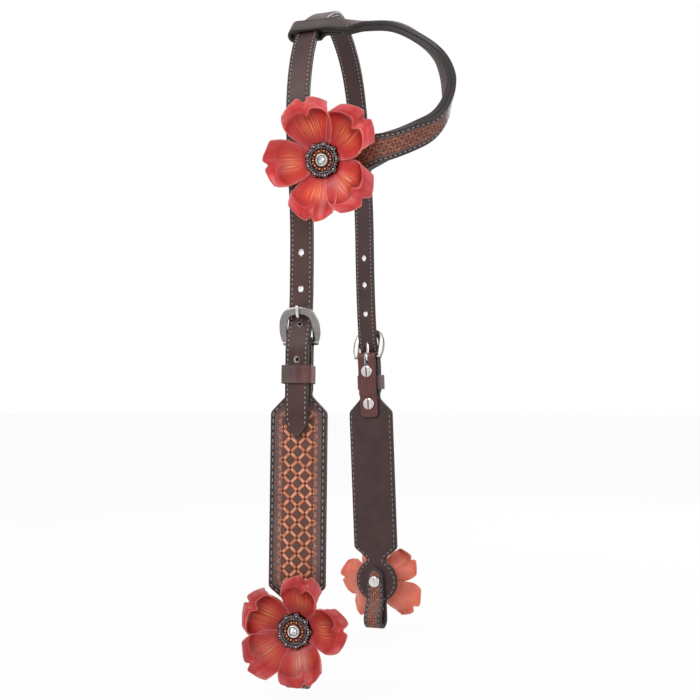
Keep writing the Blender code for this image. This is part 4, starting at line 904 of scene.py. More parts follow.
def bit_rows(radius, back_y, thick, back_thick, spread):
    """Bit strap below the flare: half round the loop, then closing up to the pointed tip."""
    turn = np.linspace(0.0, np.pi, 40)[1:]
    close = np.linspace(0.0, 1.0, 48)[1:]
    taper = np.linspace(0.0, 1.0, 24)[1:]
    low = -BIT_LOOP_DROP + BIT_LOOP_CLOSE
    straight = np.linspace(low, -BIT_TIP - BIT_TIP_TAPER, 12)[1:]
    y = np.concatenate((loop_y + radius * np.cos(turn), glide(close, (0, 1), (loop_y - radius, back_y)),
                        np.full(len(straight) + len(taper), back_y)))
    z = np.concatenate((-BIT_LOOP_DROP - radius * np.sin(turn), -BIT_LOOP_DROP + BIT_LOOP_CLOSE * close,
                        straight, -BIT_TIP - BIT_TIP_TAPER * (1 - taper)))
    point = np.concatenate((np.zeros(len(y) - len(taper)), taper))
    half = (BIT_STRAP_WIDTH + (BIT_TIP_WIDTH - BIT_STRAP_WIDTH) * point ** 2.2) / 2 - spread
    share = np.concatenate((np.zeros(len(turn)), close, np.ones(len(straight) + len(taper))))
    return stations(y, z, half, (thick + (back_thick - thick) * share) / 2)


def face_rows():
    """Chape's end behind, up over the bar, down the front and round the bit loop: y, z, half, depth."""
    start, clamp = FOLD_WIDTH / 8, LOWER_SCREW - POST_HEAD_RADIUS
    keeper_low = KEEPER_TOP + KEEPER_HEIGHT + KEEPER_DROP
    drops = np.arange(CHAPE_END, start, -CHEEK_STEP)
    y = glide(drops, (start, TAIL_FROM, keeper_low, clamp, CHAPE_END),
              (-face_y, tail_high, tail_high, tail_low, tail_low))
    corner = np.clip((drops - CHAPE_END + CHAPE_CORNER) / CHAPE_CORNER, 0.0, 1.0)
    half = CHAPE_TAIL_WIDTH / 2 - CHAPE_CORNER * (1 - np.sqrt(1 - corner ** 2))
    deep = glide(drops, (start, TAIL_FROM, CHAPE_END), (CHEEK_FACE, CHAPE_TAIL, CHAPE_TAIL)) / 2
    turn = np.linspace(np.pi, 0.0, FOLD_ROWS)
    front = np.arange(CHEEK_STEP, BIT_LOOP_DROP, CHEEK_STEP)
    return np.concatenate((
        stations(y, -drops, half, deep),
        stations(face_y * np.cos(turn), face_y * np.sin(turn), FOLD_WIDTH / 2, CHEEK_FACE / 2),
        stations(face_y, -front, cheek_half(front), CHEEK_FACE / 2),
        bit_rows(face_y - loop_y, bit_face_y, CHEEK_FACE, BIT_TAIL_FACE, 0.0)))


def lining_rows():
    """Lining from below the bar down behind the front, round the loop and up to the tip."""
    drops = np.arange(LINING_TOP, BIT_LOOP_DROP, CHEEK_STEP)
    skive = np.where((drops > CHAPE_END) & (drops < LOWER_CORNER), 0.0, CHEEK_SKIVE)
    middle = fold_inner - FIT - CHEEK_LINING / 2
    return np.concatenate((
        stations(middle + skive / 2, -drops, cheek_half(drops), (CHEEK_LINING - skive) / 2),
        bit_rows(middle - loop_y, bit_lining_y, CHEEK_LINING, BIT_TAIL_LINING, FIT)))


print("cheek:", len(face_rows()), "stations")

# %% Tooling
BASKET_PITCH = 7.3 * MM
BAR_HALF = 0.145
BAR_REACH = 0.375
DIAMOND_HALF = 0.298
BORDER = 4.2 * MM
BORDER_LINE_OUT = 0.45 * MM
STRAP_BORDER = 3.7 * MM
BIT_FINER = 2.3
MATTED = 4.0 * MM
BIT_MATTED = 0.3 * MM
SHELL_RADIUS = 2.7 * MM
BAR_TAN = colour(230, 160, 128)
BAR_SHADE = colour(196, 118, 84)
ANTIQUE = colour(96, 42, 24)
MAT_BROWN = colour(82, 56, 53)
MAT_PALE = colour(158, 122, 114)
MAT_RED = colour(112, 60, 48)
DIAMOND_BROWN = colour(104, 80, 76)
BORDER_BROWN = colour(66, 50, 49)
KNIFE_LINE_HIGHLIGHT = colour(128, 110, 108)
CHAPE_BROWN = colour(122, 70, 66)


def smooth_step(value, low, high):
    """0 below low, 1 above high, and the cubic 3s^2 - 2s^3 between."""
    share = np.clip((value - low) / (high - low), 0.0, 1.0)
    return share * share * (3 - 2 * share)


def edge_distance(u, v, run, half):
    """Distance from a point of the strap to its outline: least of the distances to nearby edge points."""
    best = np.full(u.shape, 1.0)
    for shift in np.linspace(-9.0, 9.0, 37) * MM:
        gap = np.interp(u + shift, run, half) - np.abs(v)
        best = np.minimum(best, np.sqrt(shift ** 2 + np.maximum(gap, 0.0) ** 2))
    return best


def basket(u, v):
    """Basket stamp: cells at 45 degrees, each a matted diamond inside four raised bars.

    a and b are the distances from a cell's middle along its two diagonals, in cells. The bar is a half
    ellipse of max(|a|, |b|) about the cell's edge, cut off where min(|a|, |b|) nears the corner.
    """
    cells = np.stack((u + v, u - v)) / math.sqrt(2) / BASKET_PITCH
    cells = np.abs(cells - np.round(cells))
    wide, slim = cells.max(axis=0), cells.min(axis=0)
    bar = np.sqrt(np.maximum(1 - ((0.5 - wide) / BAR_HALF) ** 2, 0.0))
    bar = bar * smooth_step(BAR_REACH - slim, 0.0, 0.04)
    return bar, smooth_step(DIAMOND_HALF - wide, 0.0, 0.02)


def matting(u, v):
    """Fine struck dots: two crossed waves, each bent by the other."""
    wave = np.sin(u * 4900 + 1.6 * np.sin(v * 1500)) * np.sin(v * 6100 + 1.6 * np.sin(u * 1300))
    return 0.5 + 0.5 * wave


def shells(u, v, from_field):
    """Half-round border stamps along the basket's edge, with rays: 0 outside, up to 1 on a ray."""
    step = BASKET_PITCH * math.sqrt(2) / 2
    local = (u / step - np.round(u / step)) * step
    radius = np.hypot(local, from_field)
    rays = 0.5 + 0.5 * np.cos(np.arctan2(local, from_field + 0.2 * MM) * 9)
    return smooth_step(SHELL_RADIUS - radius, 0.0, 0.6 * MM) * (0.10 + 0.90 * rays)


def tooled(u, v, inward, narrow):
    """Height and dye of the tooled face from the place and the distance to the outline.

    From the edge inward: the stitches' furrow, a knife line, the sunk ground with its matting and fan
    stamps, and the basket. Each takes over from the last by a smooth step of the distance.
    """
    border = np.where(narrow, STRAP_BORDER, BORDER)
    matted = np.where(narrow, BIT_MATTED, MATTED)
    field = smooth_step(inward, border - 0.15 * MM, border + 0.25 * MM)
    core = smooth_step(inward, border + matted - 0.3 * MM, border + matted + 0.3 * MM)
    from_line = inward - border + BORDER_LINE_OUT
    finer = np.where(narrow, BIT_FINER, 1.0)
    bar, diamond = basket(u * finer, v * finer)
    dots = matting(u, v)
    fan = shells(u, v, border + matted - inward) * (1 - core) * field * (~narrow)
    height = groove(inward, SEAM_IN, 0.42 * MM, 0.20 * MM) * (1 - field)
    height = height + 0.06 * MM * np.exp(-(from_line / (0.25 * MM)) ** 2)
    height = height - 0.22 * MM * field + 0.10 * MM * dots * field * (1 - core)
    height = height + core * (0.30 * MM * bar + diamond * 0.08 * MM * (0.5 + dots)) + fan * 0.12 * MM
    ground = blend_dye(MAT_BROWN, MAT_PALE, 0.95 * smooth_step(dots, 0.45, 0.85))
    near_field = smooth_step(inward, border + matted - 1.8 * MM, border + matted)
    ground = blend_dye(ground, MAT_RED, 0.6 * near_field)
    ground = blend_dye(ground, BAR_TAN, 0.8 * smooth_step(fan, 0.50, 0.90))
    tan = blend_dye(BAR_SHADE, BAR_TAN, 0.5 + 0.5 * np.sin(u * 700 + 3 * np.sin(v * 420)))
    tan = blend_dye(tan, MAT_RED, np.where(narrow, 0.25 + 0.5 * dots, 0.0))
    stamp = blend_dye(ANTIQUE, tan, smooth_step(bar, 0.30, 0.62))
    hatch = 0.5 + 0.5 * np.sin((u - v) * 5200)
    inside = blend_dye(blend_dye(DIAMOND_BROWN, MAT_BROWN, hatch), MAT_RED, 0.3 * dots)
    dye = blend_dye(ground, blend_dye(stamp, inside, diamond), core)
    # Painted highlight: a pale line on the raised crease of the knife line, just inside the stitching.
    edge = blend_dye(BORDER_BROWN, KNIFE_LINE_HIGHLIGHT, 0.8 * np.exp(-(from_line / (0.28 * MM)) ** 2))
    return height, blend_dye(edge, dye, field)


# %% Cheek pieces
CHEEK_COLUMNS = 118
LINING_COLUMNS = 57
HIDDEN_EVERY = 16
SHOULDER_MIDDLE = 41 * MM
BASKET_SHIFT = 2.3 * MM
RELIEF_FROM = (4 * MM, 9 * MM)


def cheek_frames(side, rows):
    """World centres, directions and sizes of a cheek's rows."""
    centres = np.column_stack((np.zeros(len(rows)), rows[:, 0], rows[:, 1]))
    across = np.tile((-1.0, 0.0, 0.0), (len(rows), 1))
    out = unit(np.cross(unit(np.gradient(centres, axis=0)), across))
    return to_world(side, centres), turn_world(side, across), turn_world(side, out), rows[:, 2], rows[:, 3]


def cheek_face(side):
    """Front leather, with its frames, its run and the distance along it at the top of the fold."""
    rows = face_rows()
    frames = cheek_frames(side, rows)
    run = lengths(frames[0])
    top = run[np.argmax(rows[:, 1])]
    middle = run[np.argmin(np.abs(rows[:, 1] + 0.5 * (SHOULDER_MIDDLE + LOWER_CORNER))
                           + np.where(run < top, 1.0, 0.0))] + BASKET_SHIFT

    def both(u, v):
        """Height and dye of the tooling, and the distance to the outline."""
        inward = edge_distance(u, v, run, frames[3])
        return (*tooled(u - middle, v, inward, u > top + FLARE_CENTRE), inward)

    def shown(u):
        """0 on the chape, 1 on the blade."""
        return smooth_step(u, top + RELIEF_FROM[0], top + RELIEF_FROM[1])

    def relief(u, v, width):
        """The tooling's height, on the blade alone."""
        return both(u, v)[0] * shown(u)

    def dye(u, v, face_side, width):
        """Plain chape into tooled blade, black at the edge, and bare flesh behind."""
        _, tint, inward = both(u, v)
        ridges = 0.5 + 0.5 * np.sin(v * 2100 + 2 * np.sin(u * 90))
        chape = blend_dye(CHAPE_BROWN, STRAP_BROWN, 0.25 * ridges + 0.35)
        grain = edged(blend_dye(chape, tint, shown(u)), face_side, inward)
        return np.where(face_side[..., None] < 0, LINING_BROWN[:3], grain)

    piece = strap_piece(side + "_cheek_face", frames, CHEEK_COLUMNS, dye, tooled_leather, "straps",
                        "tooled_leather", front=relief, every=HIDDEN_EVERY)
    return piece, frames, run, top


def cheek_lining(side):
    """Plain leather behind the front, with its frames and its run."""
    frames = cheek_frames(side, lining_rows())
    run = lengths(frames[0])

    def dye(u, v, face_side, width):
        """Brown leather with a black outline."""
        return edged(LINING_BROWN, face_side, edge_distance(u, v, run, frames[3]))

    piece = strap_piece(side + "_cheek_lining", frames, LINING_COLUMNS, dye, lining_leather, "straps",
                        "lining_leather")
    return piece, frames, run


# %% Cheeks with their seams and slots
BLADE_PITCH = 4.4 * MM
BLADE_STITCH = 3.0 * MM
SEAM_STEP = 0.5 * MM
FACE_SEAM = (16 * MM, 9 * MM)
LINING_SEAM = (44 * MM, 6 * MM)
SLOT_HALF = 1.7 * MM
SLOT_SPAN = (-6.5 * MM, 6.0 * MM)


def outline_seams(frames, run, way, start, end):
    """Rows for the stitches: the outline moved inward along its own normals, on one face."""
    centres, across, out, half, deep = frames
    at = np.arange(start, end, SEAM_STEP)
    slope = np.gradient(np.interp(at, run, half), at)
    size = np.sqrt(1 + slope ** 2)
    moved = at + SEAM_IN * slope / size
    v = np.interp(at, run, half) - SEAM_IN / size
    middle, side_way, facing = (along(moved, run, block) for block in (centres, across, out))
    lift = way * (np.interp(moved, run, deep) - STITCH_SUNK)
    return [(middle + side_way * (sign * v)[:, None] + facing * lift[:, None], facing * way)
            for sign in (-1, 1)]


for side in SIDES:
    face, frames, run, top = cheek_face(side)
    lining, back_frames, back_run = cheek_lining(side)
    seams = outline_seams(frames, run, 1, top + FACE_SEAM[0], run[-1] - FACE_SEAM[1])
    seams += outline_seams(back_frames, back_run, -1, LINING_SEAM[0], BIT_LOOP_DROP - LINING_SEAM[1])
    stitch_seams(side + "_cheek_stitches", seams, "straps", BLADE_PITCH, BLADE_STITCH)
    corners = np.array(((-1, -1), (1, -1), (1, 1), (-1, 1))) * (SLOT_HALF, face_front + 2 * MM)
    carve((face, lining), [to_world(side, prism(corners, *SLOT_SPAN))])

# %% [markdown]
# ## Moulded flowers
# Each flower is cut from one leather, wetted and pressed over a form, so its petals are deep cups with
# notched, folded-back tips that lap over their neighbours. Cloth simulation would only droop them: wet
# leather keeps the form it is pressed to, so a petal is written as a surface of two shares, t from the
# centre to the tip and s across it.

# %% Flower sizes
FLOWER_LEATHER = 1.4 * MM
PETAL_LENGTH = 40 * MM
PETAL_HALF = 17.2 * MM
PETAL_RISE = 12.5 * MM
PETAL_ROWS = 84
PETAL_COLUMNS = 81
PETAL_START = 5.0 * MM
PETAL_LAYER = 0.05 * MM
WIDE_KNOTS = (0.0, 0.20, 0.38, 0.60, 0.80, 0.92, 1.0)
WIDE_SHARES = (0.32, 0.58, 0.83, 1.0, 0.95, 0.90, 0.87)
RISE_KNOTS = (0.0, 0.20, 0.38, 0.55, 0.67, 0.76, 0.86, 1.0)
FOLDED_RISE = (0.0, 0.04, 0.24, 0.50, 0.78, 1.00, 1.04, 0.88)
OPEN_RISE = (0.0, 0.04, 0.24, 0.48, 0.66, 0.80, 0.95, 1.10)
CUP_SHARES = (0.0, 0.16, 0.66, 1.0, 0.84, 0.58, 0.38)
RIDGE = 0.76

# Angle, length, width, rise of the two side edges (clockwise, anticlockwise) and fold-back of the lobes
PETALS = {
    "ear": ((103, 1.02, 1.0, 1.2, 1.4, 1.0, 0.4), (37, 1.07, 0.98, 1.8, 1.0, 0.9, 0.8),
            (-43, 1.06, 1.0, 1.2, -0.8, 0.4, 1.0), (-100, 1.01, 0.98, -0.6, -0.8, 0.3, 0.1),
            (183, 0.93, 1.02, -0.6, 1.5, 0.1, 0.3)),
    "near": ((74, 0.98, 0.84, -0.6, 1.0, 1.1, 0.4), (7, 1.0, 0.92, 1.3, 0.9, 0.2, 0.7),
             (-71, 0.89, 1.06, 1.0, -0.8, 0.2, 0.1), (-142, 0.93, 1.0, 1.2, -0.6, 0.5, 0.1),
             (147, 0.95, 1.0, 1.2, -0.6, 0.9, 1.0)),
    "far": ((72, 0.92, 1.0, 0.8, -0.6, 0.6, 0.5), (-2, 1.03, 0.96, 1.3, -0.6, 0.2, 0.5),
            (-60, 1.06, 0.92, 0.9, -0.8, 0.4, 0.3), (-138, 0.99, 0.96, 1.0, 0.8, 0.4, 0.5),
            (148, 0.85, 1.0, -0.6, 1.2, 0.6, 0.5))}
# Painted light: each flower's colours are scaled by how much light it gets, brighter on the ear piece and
# darker on the near cheek.
PETAL_PAINTED_LIGHT = {"ear": 1.10, "near": 0.82, "far": 0.95}

PETAL_RED = colour(202, 42, 40)
PETAL_CRIMSON = colour(132, 12, 20)
PETAL_PINK_HIGHLIGHT = colour(212, 92, 96)
PETAL_ORANGE = colour(216, 78, 50)
STREAK_GOLD = colour(236, 152, 96)
PETAL_RIM_HIGHLIGHT = colour(226, 142, 132)
PETAL_BACK = colour(236, 124, 100)
BACK_SHADE = colour(190, 88, 68)


def by_side(low, high, s):
    """One value on each side of a petal's middle, joined smoothly across it."""
    return low + (high - low) * smooth_step(s, -0.18, 0.18)


def ridge_line(s):
    """Share along the petal where its lobes turn back: nearer at the notch and at the side edges."""
    return RIDGE - 0.09 * np.exp(-(s / 0.13) ** 2) - 0.24 * np.abs(s) ** 3


def petal_surface(length, wide, rise_low, rise_high, fold_low, fold_high, t, s):
    """Point of a petal in its own directions: x outward, y across, z up.

    The end is a circle's arc: x is cut back by 0.42 (1 - cos 60 s) and by a narrow bell at the notch.
    Across, the section is an arc: y = R sin f, z = R (1 - cos f). To that come the rise along t, whose
    share is stretched so that its crest falls on the ridge line, the tilt of each side edge, the lobes
    turned back beyond the ridge, the pleat at the notch and a slow ruffle.
    """
    notch = np.exp(-(s / 0.12) ** 2)
    trim = 0.42 * (1 - np.cos(s * np.pi / 3)) + 0.10 * notch
    x = PETAL_START + (PETAL_LENGTH * length - PETAL_START) * t * (1 - trim * t ** 3)
    half = PETAL_HALF * length * wide * glide(t.ravel(), WIDE_KNOTS, WIDE_SHARES).reshape(t.shape)
    cup = glide(t.ravel(), WIDE_KNOTS, CUP_SHARES).reshape(t.shape)
    bend = 0.10 + 0.95 * cup
    angle = s * bend
    radius = half / bend
    y = radius * np.sin(angle) * (1 + 0.10 * cup)
    z = 0.80 * radius * (1 - np.cos(angle))
    fold = np.clip(by_side(fold_low, fold_high, s), 0.0, 1.0)
    ridge = ridge_line(s)
    share = np.where(t < ridge, t / ridge * RIDGE, RIDGE + (t - ridge) / (1 - ridge) * (1 - RIDGE))
    share = t + (share - t) * fold
    folded = glide(share.ravel(), RISE_KNOTS, FOLDED_RISE).reshape(t.shape)
    opened = glide(t.ravel(), RISE_KNOTS, OPEN_RISE).reshape(t.shape)
    z = z * (1 - 0.45 * fold * smooth_step(t - ridge, -0.05, 0.18))
    z = z + PETAL_RISE * (opened + (folded - opened) * fold)
    swell = np.sin(np.pi * np.clip(t * 1.15, 0, 1)) ** 0.8
    tilt = by_side(rise_low, rise_high, s) * MM * np.abs(s) ** 1.5 * swell
    past = np.clip((t - ridge) / (1 - ridge), 0.0, 1.0)
    back = 4.6 * MM * fold * past ** 1.4 * (0.5 + 0.5 * np.abs(s))
    pleat = 1.2 * MM * np.tanh(s / 0.10) * np.sign(fold_low - fold_high) * past * np.exp(-s ** 2 * 3)
    ruffle = 0.55 * MM * np.sin(5.2 * s + 9 * length) * t ** 3 + 0.25 * MM * np.sin(11 * s) * t ** 4
    crease = -0.5 * MM * np.exp(-(s / 0.05) ** 2) * t ** 2
    return x, y, z + tilt - back + pleat + ruffle + crease


def petal_dye(fold_low, fold_high, t, s, seed):
    """Red with painted shade in crimson on the walls inside the ridge, painted highlights in pink on the
    margins and the turned-back lobes and in pale on the ridge and rim, a darker crimson band near the base,
    and gold strokes brushed in.
    """
    cloud = 0.5 + 0.25 * np.sin(9 * t + 4 * s + seed) + 0.25 * np.sin(17 * s - 5 * t + 2 * seed)
    fold = np.clip(by_side(fold_low, fold_high, s), 0.0, 1.0)
    inside = ridge_line(s) - t
    # Painted shade: crimson on the cup's inner side just inside the ridge.
    wall_shade = np.exp(-((inside - 0.055) / 0.075) ** 2) * (0.25 + 0.75 * fold)
    wall_shade = wall_shade * smooth_step(inside, -0.01, 0.02)
    dye = blend_dye(PETAL_RED, PETAL_CRIMSON, 0.30 * cloud + 0.85 * wall_shade)
    # Painted highlights: pink on the side margins and on the lobes turned back past the ridge.
    margin_highlight = smooth_step(np.abs(s), 0.55, 0.95) * (0.25 + 0.55 * cloud)
    lobe = smooth_step(-inside, 0.03, 0.15) * (0.15 + 0.5 * (1 - cloud)) * (0.3 + 0.7 * fold)
    dye = blend_dye(dye, PETAL_PINK_HIGHLIGHT, np.clip(margin_highlight * (1 - wall_shade) + lobe, 0, 1))
    dye = blend_dye(dye, PETAL_CRIMSON, 0.35 * np.exp(-((t - 0.20) / 0.08) ** 2))
    glow = np.exp(-((t - 0.46) / 0.19) ** 2) * np.exp(-(s / 0.55) ** 2)
    dye = blend_dye(dye, PETAL_ORANGE, 0.60 * glow)
    stroke = 0.5 + 0.5 * np.sin(s * 58 + 1.6 * np.sin(s * 15 + seed) + 0.5 * np.sin(t * 7))
    reach = 0.12 + 0.04 * np.sin(s * 23 + seed)
    gold = np.exp(-((t - 0.47) / reach) ** 2) * np.exp(-(s / 0.40) ** 2)
    dye = blend_dye(dye, STREAK_GOLD, gold * stroke ** 3)
    # Painted highlight: a pale line along the ridge's crest and round the petal's outline.
    crest = np.exp(-((inside + 0.008) / 0.012) ** 2) * fold * 0.8
    rim = smooth_step(np.abs(s), 0.955, 0.985) + smooth_step(t, 0.978, 0.992) + crest
    return blend_dye(dye, PETAL_RIM_HIGHLIGHT, np.clip(rim, 0, 1) * 0.75)


def flower_skin(side, turn, place):
    """All petals of a flower: the upper grid, and the same grid one leather thickness below it."""
    skins, dyes = [], []
    t, s = np.meshgrid(np.linspace(0, 1, PETAL_ROWS), np.linspace(-1, 1, PETAL_COLUMNS), indexing="ij")
    for number, (angle, length, *form) in enumerate(PETALS[side]):
        x, y, z = petal_surface(length, *form, t, s)
        turned = math.radians(angle)
        top = np.stack((x * math.cos(turned) - y * math.sin(turned),
                        x * math.sin(turned) + y * math.cos(turned),
                        z + FLOWER_LEATHER + PETAL_LAYER * number), axis=-1)
        normal = unit(np.cross(np.gradient(top, axis=0), np.gradient(top, axis=1)))
        edge = np.clip(np.minimum(1 - np.abs(s), 1 - t) / 0.05, 0.0, 1.0)[..., None]
        under = top - normal * FLOWER_LEATHER * (0.55 + 0.45 * edge ** 0.5)
        skins.append(np.concatenate((top, under[:, ::-1]), axis=1))
        # The flower's painted light level scales its upper colours.
        upper = petal_dye(*form[3:], t, s, angle) * PETAL_PAINTED_LIGHT[side]
        # Backs: PETAL_BACK darkened toward BACK_SHADE, painted shade, in slow waves and most in a band near
        # the base.
        worn = 0.5 + 0.5 * np.sin(7 * t + 3 * s + angle)
        lower = blend_dye(PETAL_BACK, BACK_SHADE, 0.35 * worn + 0.5 * np.exp(-((t - 0.3) / 0.2) ** 2))
        dyes.append(np.concatenate((upper, lower[:, ::-1]), axis=1).reshape(-1, 3))
    points, faces = joined(skins)
    return make_mesh(points @ turn.T + place, faces, dye=np.concatenate(dyes))


petal_leather = leather("petal_leather", 0.38, 0.10, 0.14, 1500.0, 0.38)
skin = petal_leather.node_tree.nodes["Principled BSDF"]
skin.inputs["Coat Weight"].default_value = 0.06
skin.inputs["Coat Roughness"].default_value = 0.35

# %% Flower places
OUTWARD = np.array(Euler((math.radians(90.0), 0.0, math.radians(180.0))).to_matrix())
flower_seat = face_front + FIT
flower_frames = {}


def add_flower(side, turn, place):
    """One flower at its seat, which its concho shares."""
    flower_frames[side] = (turn, place)
    add_piece(side + "_flower", flower_skin(side, turn, place), (petal_leather,), side + "_bloom")


for side in SIDES:
    add_flower(side, SIDES[side][0] @ OUTWARD, to_world(side, (0.0, flower_seat, -FLARE_CENTRE)))

# %% [markdown]
# ## Ear piece
# The ear piece slips on the crown: it wraps the strap at the poll, hangs free as a loop for the ear, and
# comes back to wrap the strap again under the upper flower. Its wide end is tooled, and the loop is
# plain. It twists as it goes, so its width's direction is given at every measured point.

# %% Ear sizes
EAR_REACH = 99 * MM
EAR_LOW_SHARE = -0.5086
EAR_TOP_SHARE = -0.1143
EAR_FACE = 3.0 * MM
EAR_LINING = 3.4 * MM
EAR_WRAP = 2.2 * MM
EAR_WRAP_LINING = 1.6 * MM
EAR_WRAP_ROOM = 0.9 * MM
EAR_WRAP_PAST = 1.0 * MM
EAR_WIDTHS = np.array((25.0, 26.5, 16.5, 15.0, 14.0)) * MM
EAR_JOIN = 4 * MM
EAR_LOW_RETURN = 20 * MM
EAR_TOP_RETURN = 12 * MM
EAR_GROW = 4 * MM
EAR_LINING_PAST = 2 * MM
EAR_CONCHO_OUT = 18.3 * MM
EAR_STEP = 0.45 * MM
EAR_BLUR = 15
EAR_ROUTE = (
    (0.548, -0.554, -0.4955), (0.680, -0.543, -0.4792), (0.812, -0.527, -0.4571),
    (0.923, -0.505, -0.4261), (0.994, -0.484, -0.3722), (0.999, -0.457, -0.3106),
    (0.916, -0.425, -0.2273), (0.761, -0.392, -0.1633), (0.586, -0.355, -0.1171),
    (0.362, -0.318, -0.0960), (0.240, -0.342, -0.0990))
EAR_ACROSS = (
    (0.0, -0.05, 1.0), (-0.10, -0.47, 0.88), (-0.25, -0.60, 0.75), (0.0, -0.90, 0.35),
    (0.20, -0.97, 0.10), (0.40, -0.92, 0.0), (0.30, -0.88, -0.30), (0.15, -0.93, -0.33),
    (0.0, -0.94, -0.34), (0.0, -0.93, -0.36), (0.0, -0.82, -0.57))

ear_wrap = crown_thick / 2 + EAR_WRAP_ROOM + EAR_WRAP / 2
ear_stack = EAR_WRAP + FIT + EAR_WRAP_LINING + FIT + EAR_WRAP
ear_lift = ear_wrap + EAR_WRAP / 2 - ear_stack / 2
ear_loop = EAR_FACE + FIT + EAR_LINING
wrap_start = CROWN_WIDTH / 2 + EAR_WRAP_PAST


def crossing(share):
    """Where the ear piece crosses the crown at a height: point, way up the crown and outward normal."""
    near = crown_centres[:, 1] < 0
    order = np.argsort(crown_centres[near, 2])
    heights = crown_centres[near, 2][order]
    at = np.array((share * CROWN_DROP,))
    point = along(at, heights, crown_centres[near][order])[0]
    facing = unit(along(at, heights, crown_out[near][order])[0] * (0, 1, 1))
    return point, np.cross(facing, (1.0, 0.0, 0.0)), facing


def ear_route():
    """Centres and directions from the lower wrap round the ear and back to the upper wrap."""
    low, up_low, out_low = crossing(EAR_LOW_SHARE)
    top, up_top, out_top = crossing(EAR_TOP_SHARE)
    ahead = np.array((1.0, 0.0, 0.0))
    low = low + out_low * ear_lift
    top = top + out_top * ear_lift
    first = (-wrap_start, 0.0, wrap_start, wrap_start + EAR_JOIN, wrap_start + EAR_LOW_RETURN,
             wrap_start + EAR_LOW_RETURN + EAR_GROW)
    last = (wrap_start + EAR_JOIN / 2, wrap_start, 0.0, -wrap_start)
    control = np.concatenate(([low + ahead * x for x in first],
                              np.array(EAR_ROUTE) * (EAR_REACH, HEAD_WIDTH, CROWN_DROP),
                              [top + ahead * x for x in last]))
    wide = np.concatenate(([up_low] * len(first), EAR_ACROSS, [-up_top] * len(last)))
    run = lengths(control)
    at = np.linspace(0.0, run[-1], int(run[-1] / EAR_STEP))
    centres = spline(control, at)
    blur = np.ones(EAR_BLUR) / EAR_BLUR
    padded = np.pad(along(at, run, wide), ((EAR_BLUR // 2,) * 2, (0, 0)), mode="edge")
    wide = np.column_stack([np.convolve(padded[:, axis], blur, mode="valid") for axis in range(3)])
    out = unit(np.cross(unit(np.gradient(centres, axis=0)), wide))
    return centres, unit(np.cross(out, unit(np.gradient(centres, axis=0)))), out, at


def ear_value(at, wrap, stack_low, stack_top, loop):
    """A value along the piece: at the wraps, in the joined ends and round the free loop."""
    total, first = at[-1], 2 * wrap_start
    low = (0.0, first, first + EAR_JOIN, first + EAR_LOW_RETURN + FIT, first + EAR_LOW_RETURN + EAR_GROW)
    top = (first + EAR_TOP_RETURN + EAR_GROW, first + EAR_TOP_RETURN + FIT, first + EAR_JOIN, first, 0.0)
    knots = np.concatenate((low, total - np.array(top)))
    values = (wrap, wrap, stack_low, stack_low, loop, loop, stack_top, stack_top, wrap, wrap)
    return glide(at, knots, values)


# %% Ear strip
EAR_TOOLED_TO = 0.43
EAR_WIDE_UNTIL = 0.10
EAR_SLIM_FROM = 0.30
BEND_STEPS = 30

ear_centres, ear_across, ear_out, ear_at = ear_route()
ear_total = ear_at[-1]
width_knots = (0.0, EAR_WIDE_UNTIL * ear_total, EAR_SLIM_FROM * ear_total,
               ear_total - 2 * wrap_start - EAR_TOP_RETURN, ear_total - 2 * wrap_start)
ear_half = glide(ear_at, width_knots, EAR_WIDTHS) / 2
stack_front = ear_stack / 2 - EAR_WRAP / 2
front_shift = ear_value(ear_at, stack_front, stack_front, stack_front, ear_loop / 2 - EAR_FACE / 2)
front_deep = ear_value(ear_at, EAR_WRAP, EAR_WRAP, EAR_WRAP, EAR_FACE) / 2
back_shift = ear_value(ear_at, stack_front - 2 * ear_wrap, -stack_front, -stack_front, -stack_front)
ear_front = ear_centres + ear_out * front_shift[:, None]
ear_back = ear_centres + ear_out * back_shift[:, None]
low_end = ear_at <= 2 * wrap_start + EAR_LOW_RETURN
top_end = ear_at >= ear_total - 2 * wrap_start - EAR_TOP_RETURN


def ear_return(end):
    """Frames of the part behind the crown, walked the other way."""
    return (ear_back[end][::-1], ear_across[end][::-1], -ear_out[end][::-1], ear_half[end][::-1],
            EAR_WRAP / 2)


def ear_bend(index, way):
    """Frames of the half circle that takes the strip round the crown's edge."""
    turn = np.linspace(0.0, np.pi, BEND_STEPS + 2)[1:-1, None]
    middle = ear_centres[index] + ear_out[index] * (stack_front - ear_wrap)
    ahead = np.cross(ear_across[index], ear_out[index]) * way
    spoke = -ahead * np.sin(turn) - ear_out[index] * way * np.cos(turn)
    return middle + spoke * ear_wrap, ear_across[index], spoke, ear_half[index], EAR_WRAP / 2


whole = (ear_return(low_end), ear_bend(0, 1), (ear_front, ear_across, ear_out, ear_half, front_deep),
         ear_bend(-1, -1), ear_return(top_end))
strip = [np.concatenate([np.broadcast_to(part[k], part[0].shape) for part in whole]) for k in range(3)]
strip += [np.concatenate([np.broadcast_to(part[k], len(part[0])) for part in whole]) for k in (3, 4)]
strip_run = lengths(strip[0])
main_start = strip_run[low_end.sum() + BEND_STEPS]
tooled_end = main_start + EAR_TOOLED_TO * ear_total
print("ear strip:", round(strip_run[-1], 4), "m long")

# %% Ear leathers
EAR_COLUMNS = 66
EAR_LINING_COLUMNS = 29
EAR_HIDDEN_EVERY = 12
EAR_PITCH = 3.4 * MM
EAR_CLOSED = 0.12 * MM
EAR_RAMPS = (4 * MM, 14 * MM)
EAR_SEAM = (32 * MM, 24 * MM)
EAR_GREY = colour(94, 89, 88)


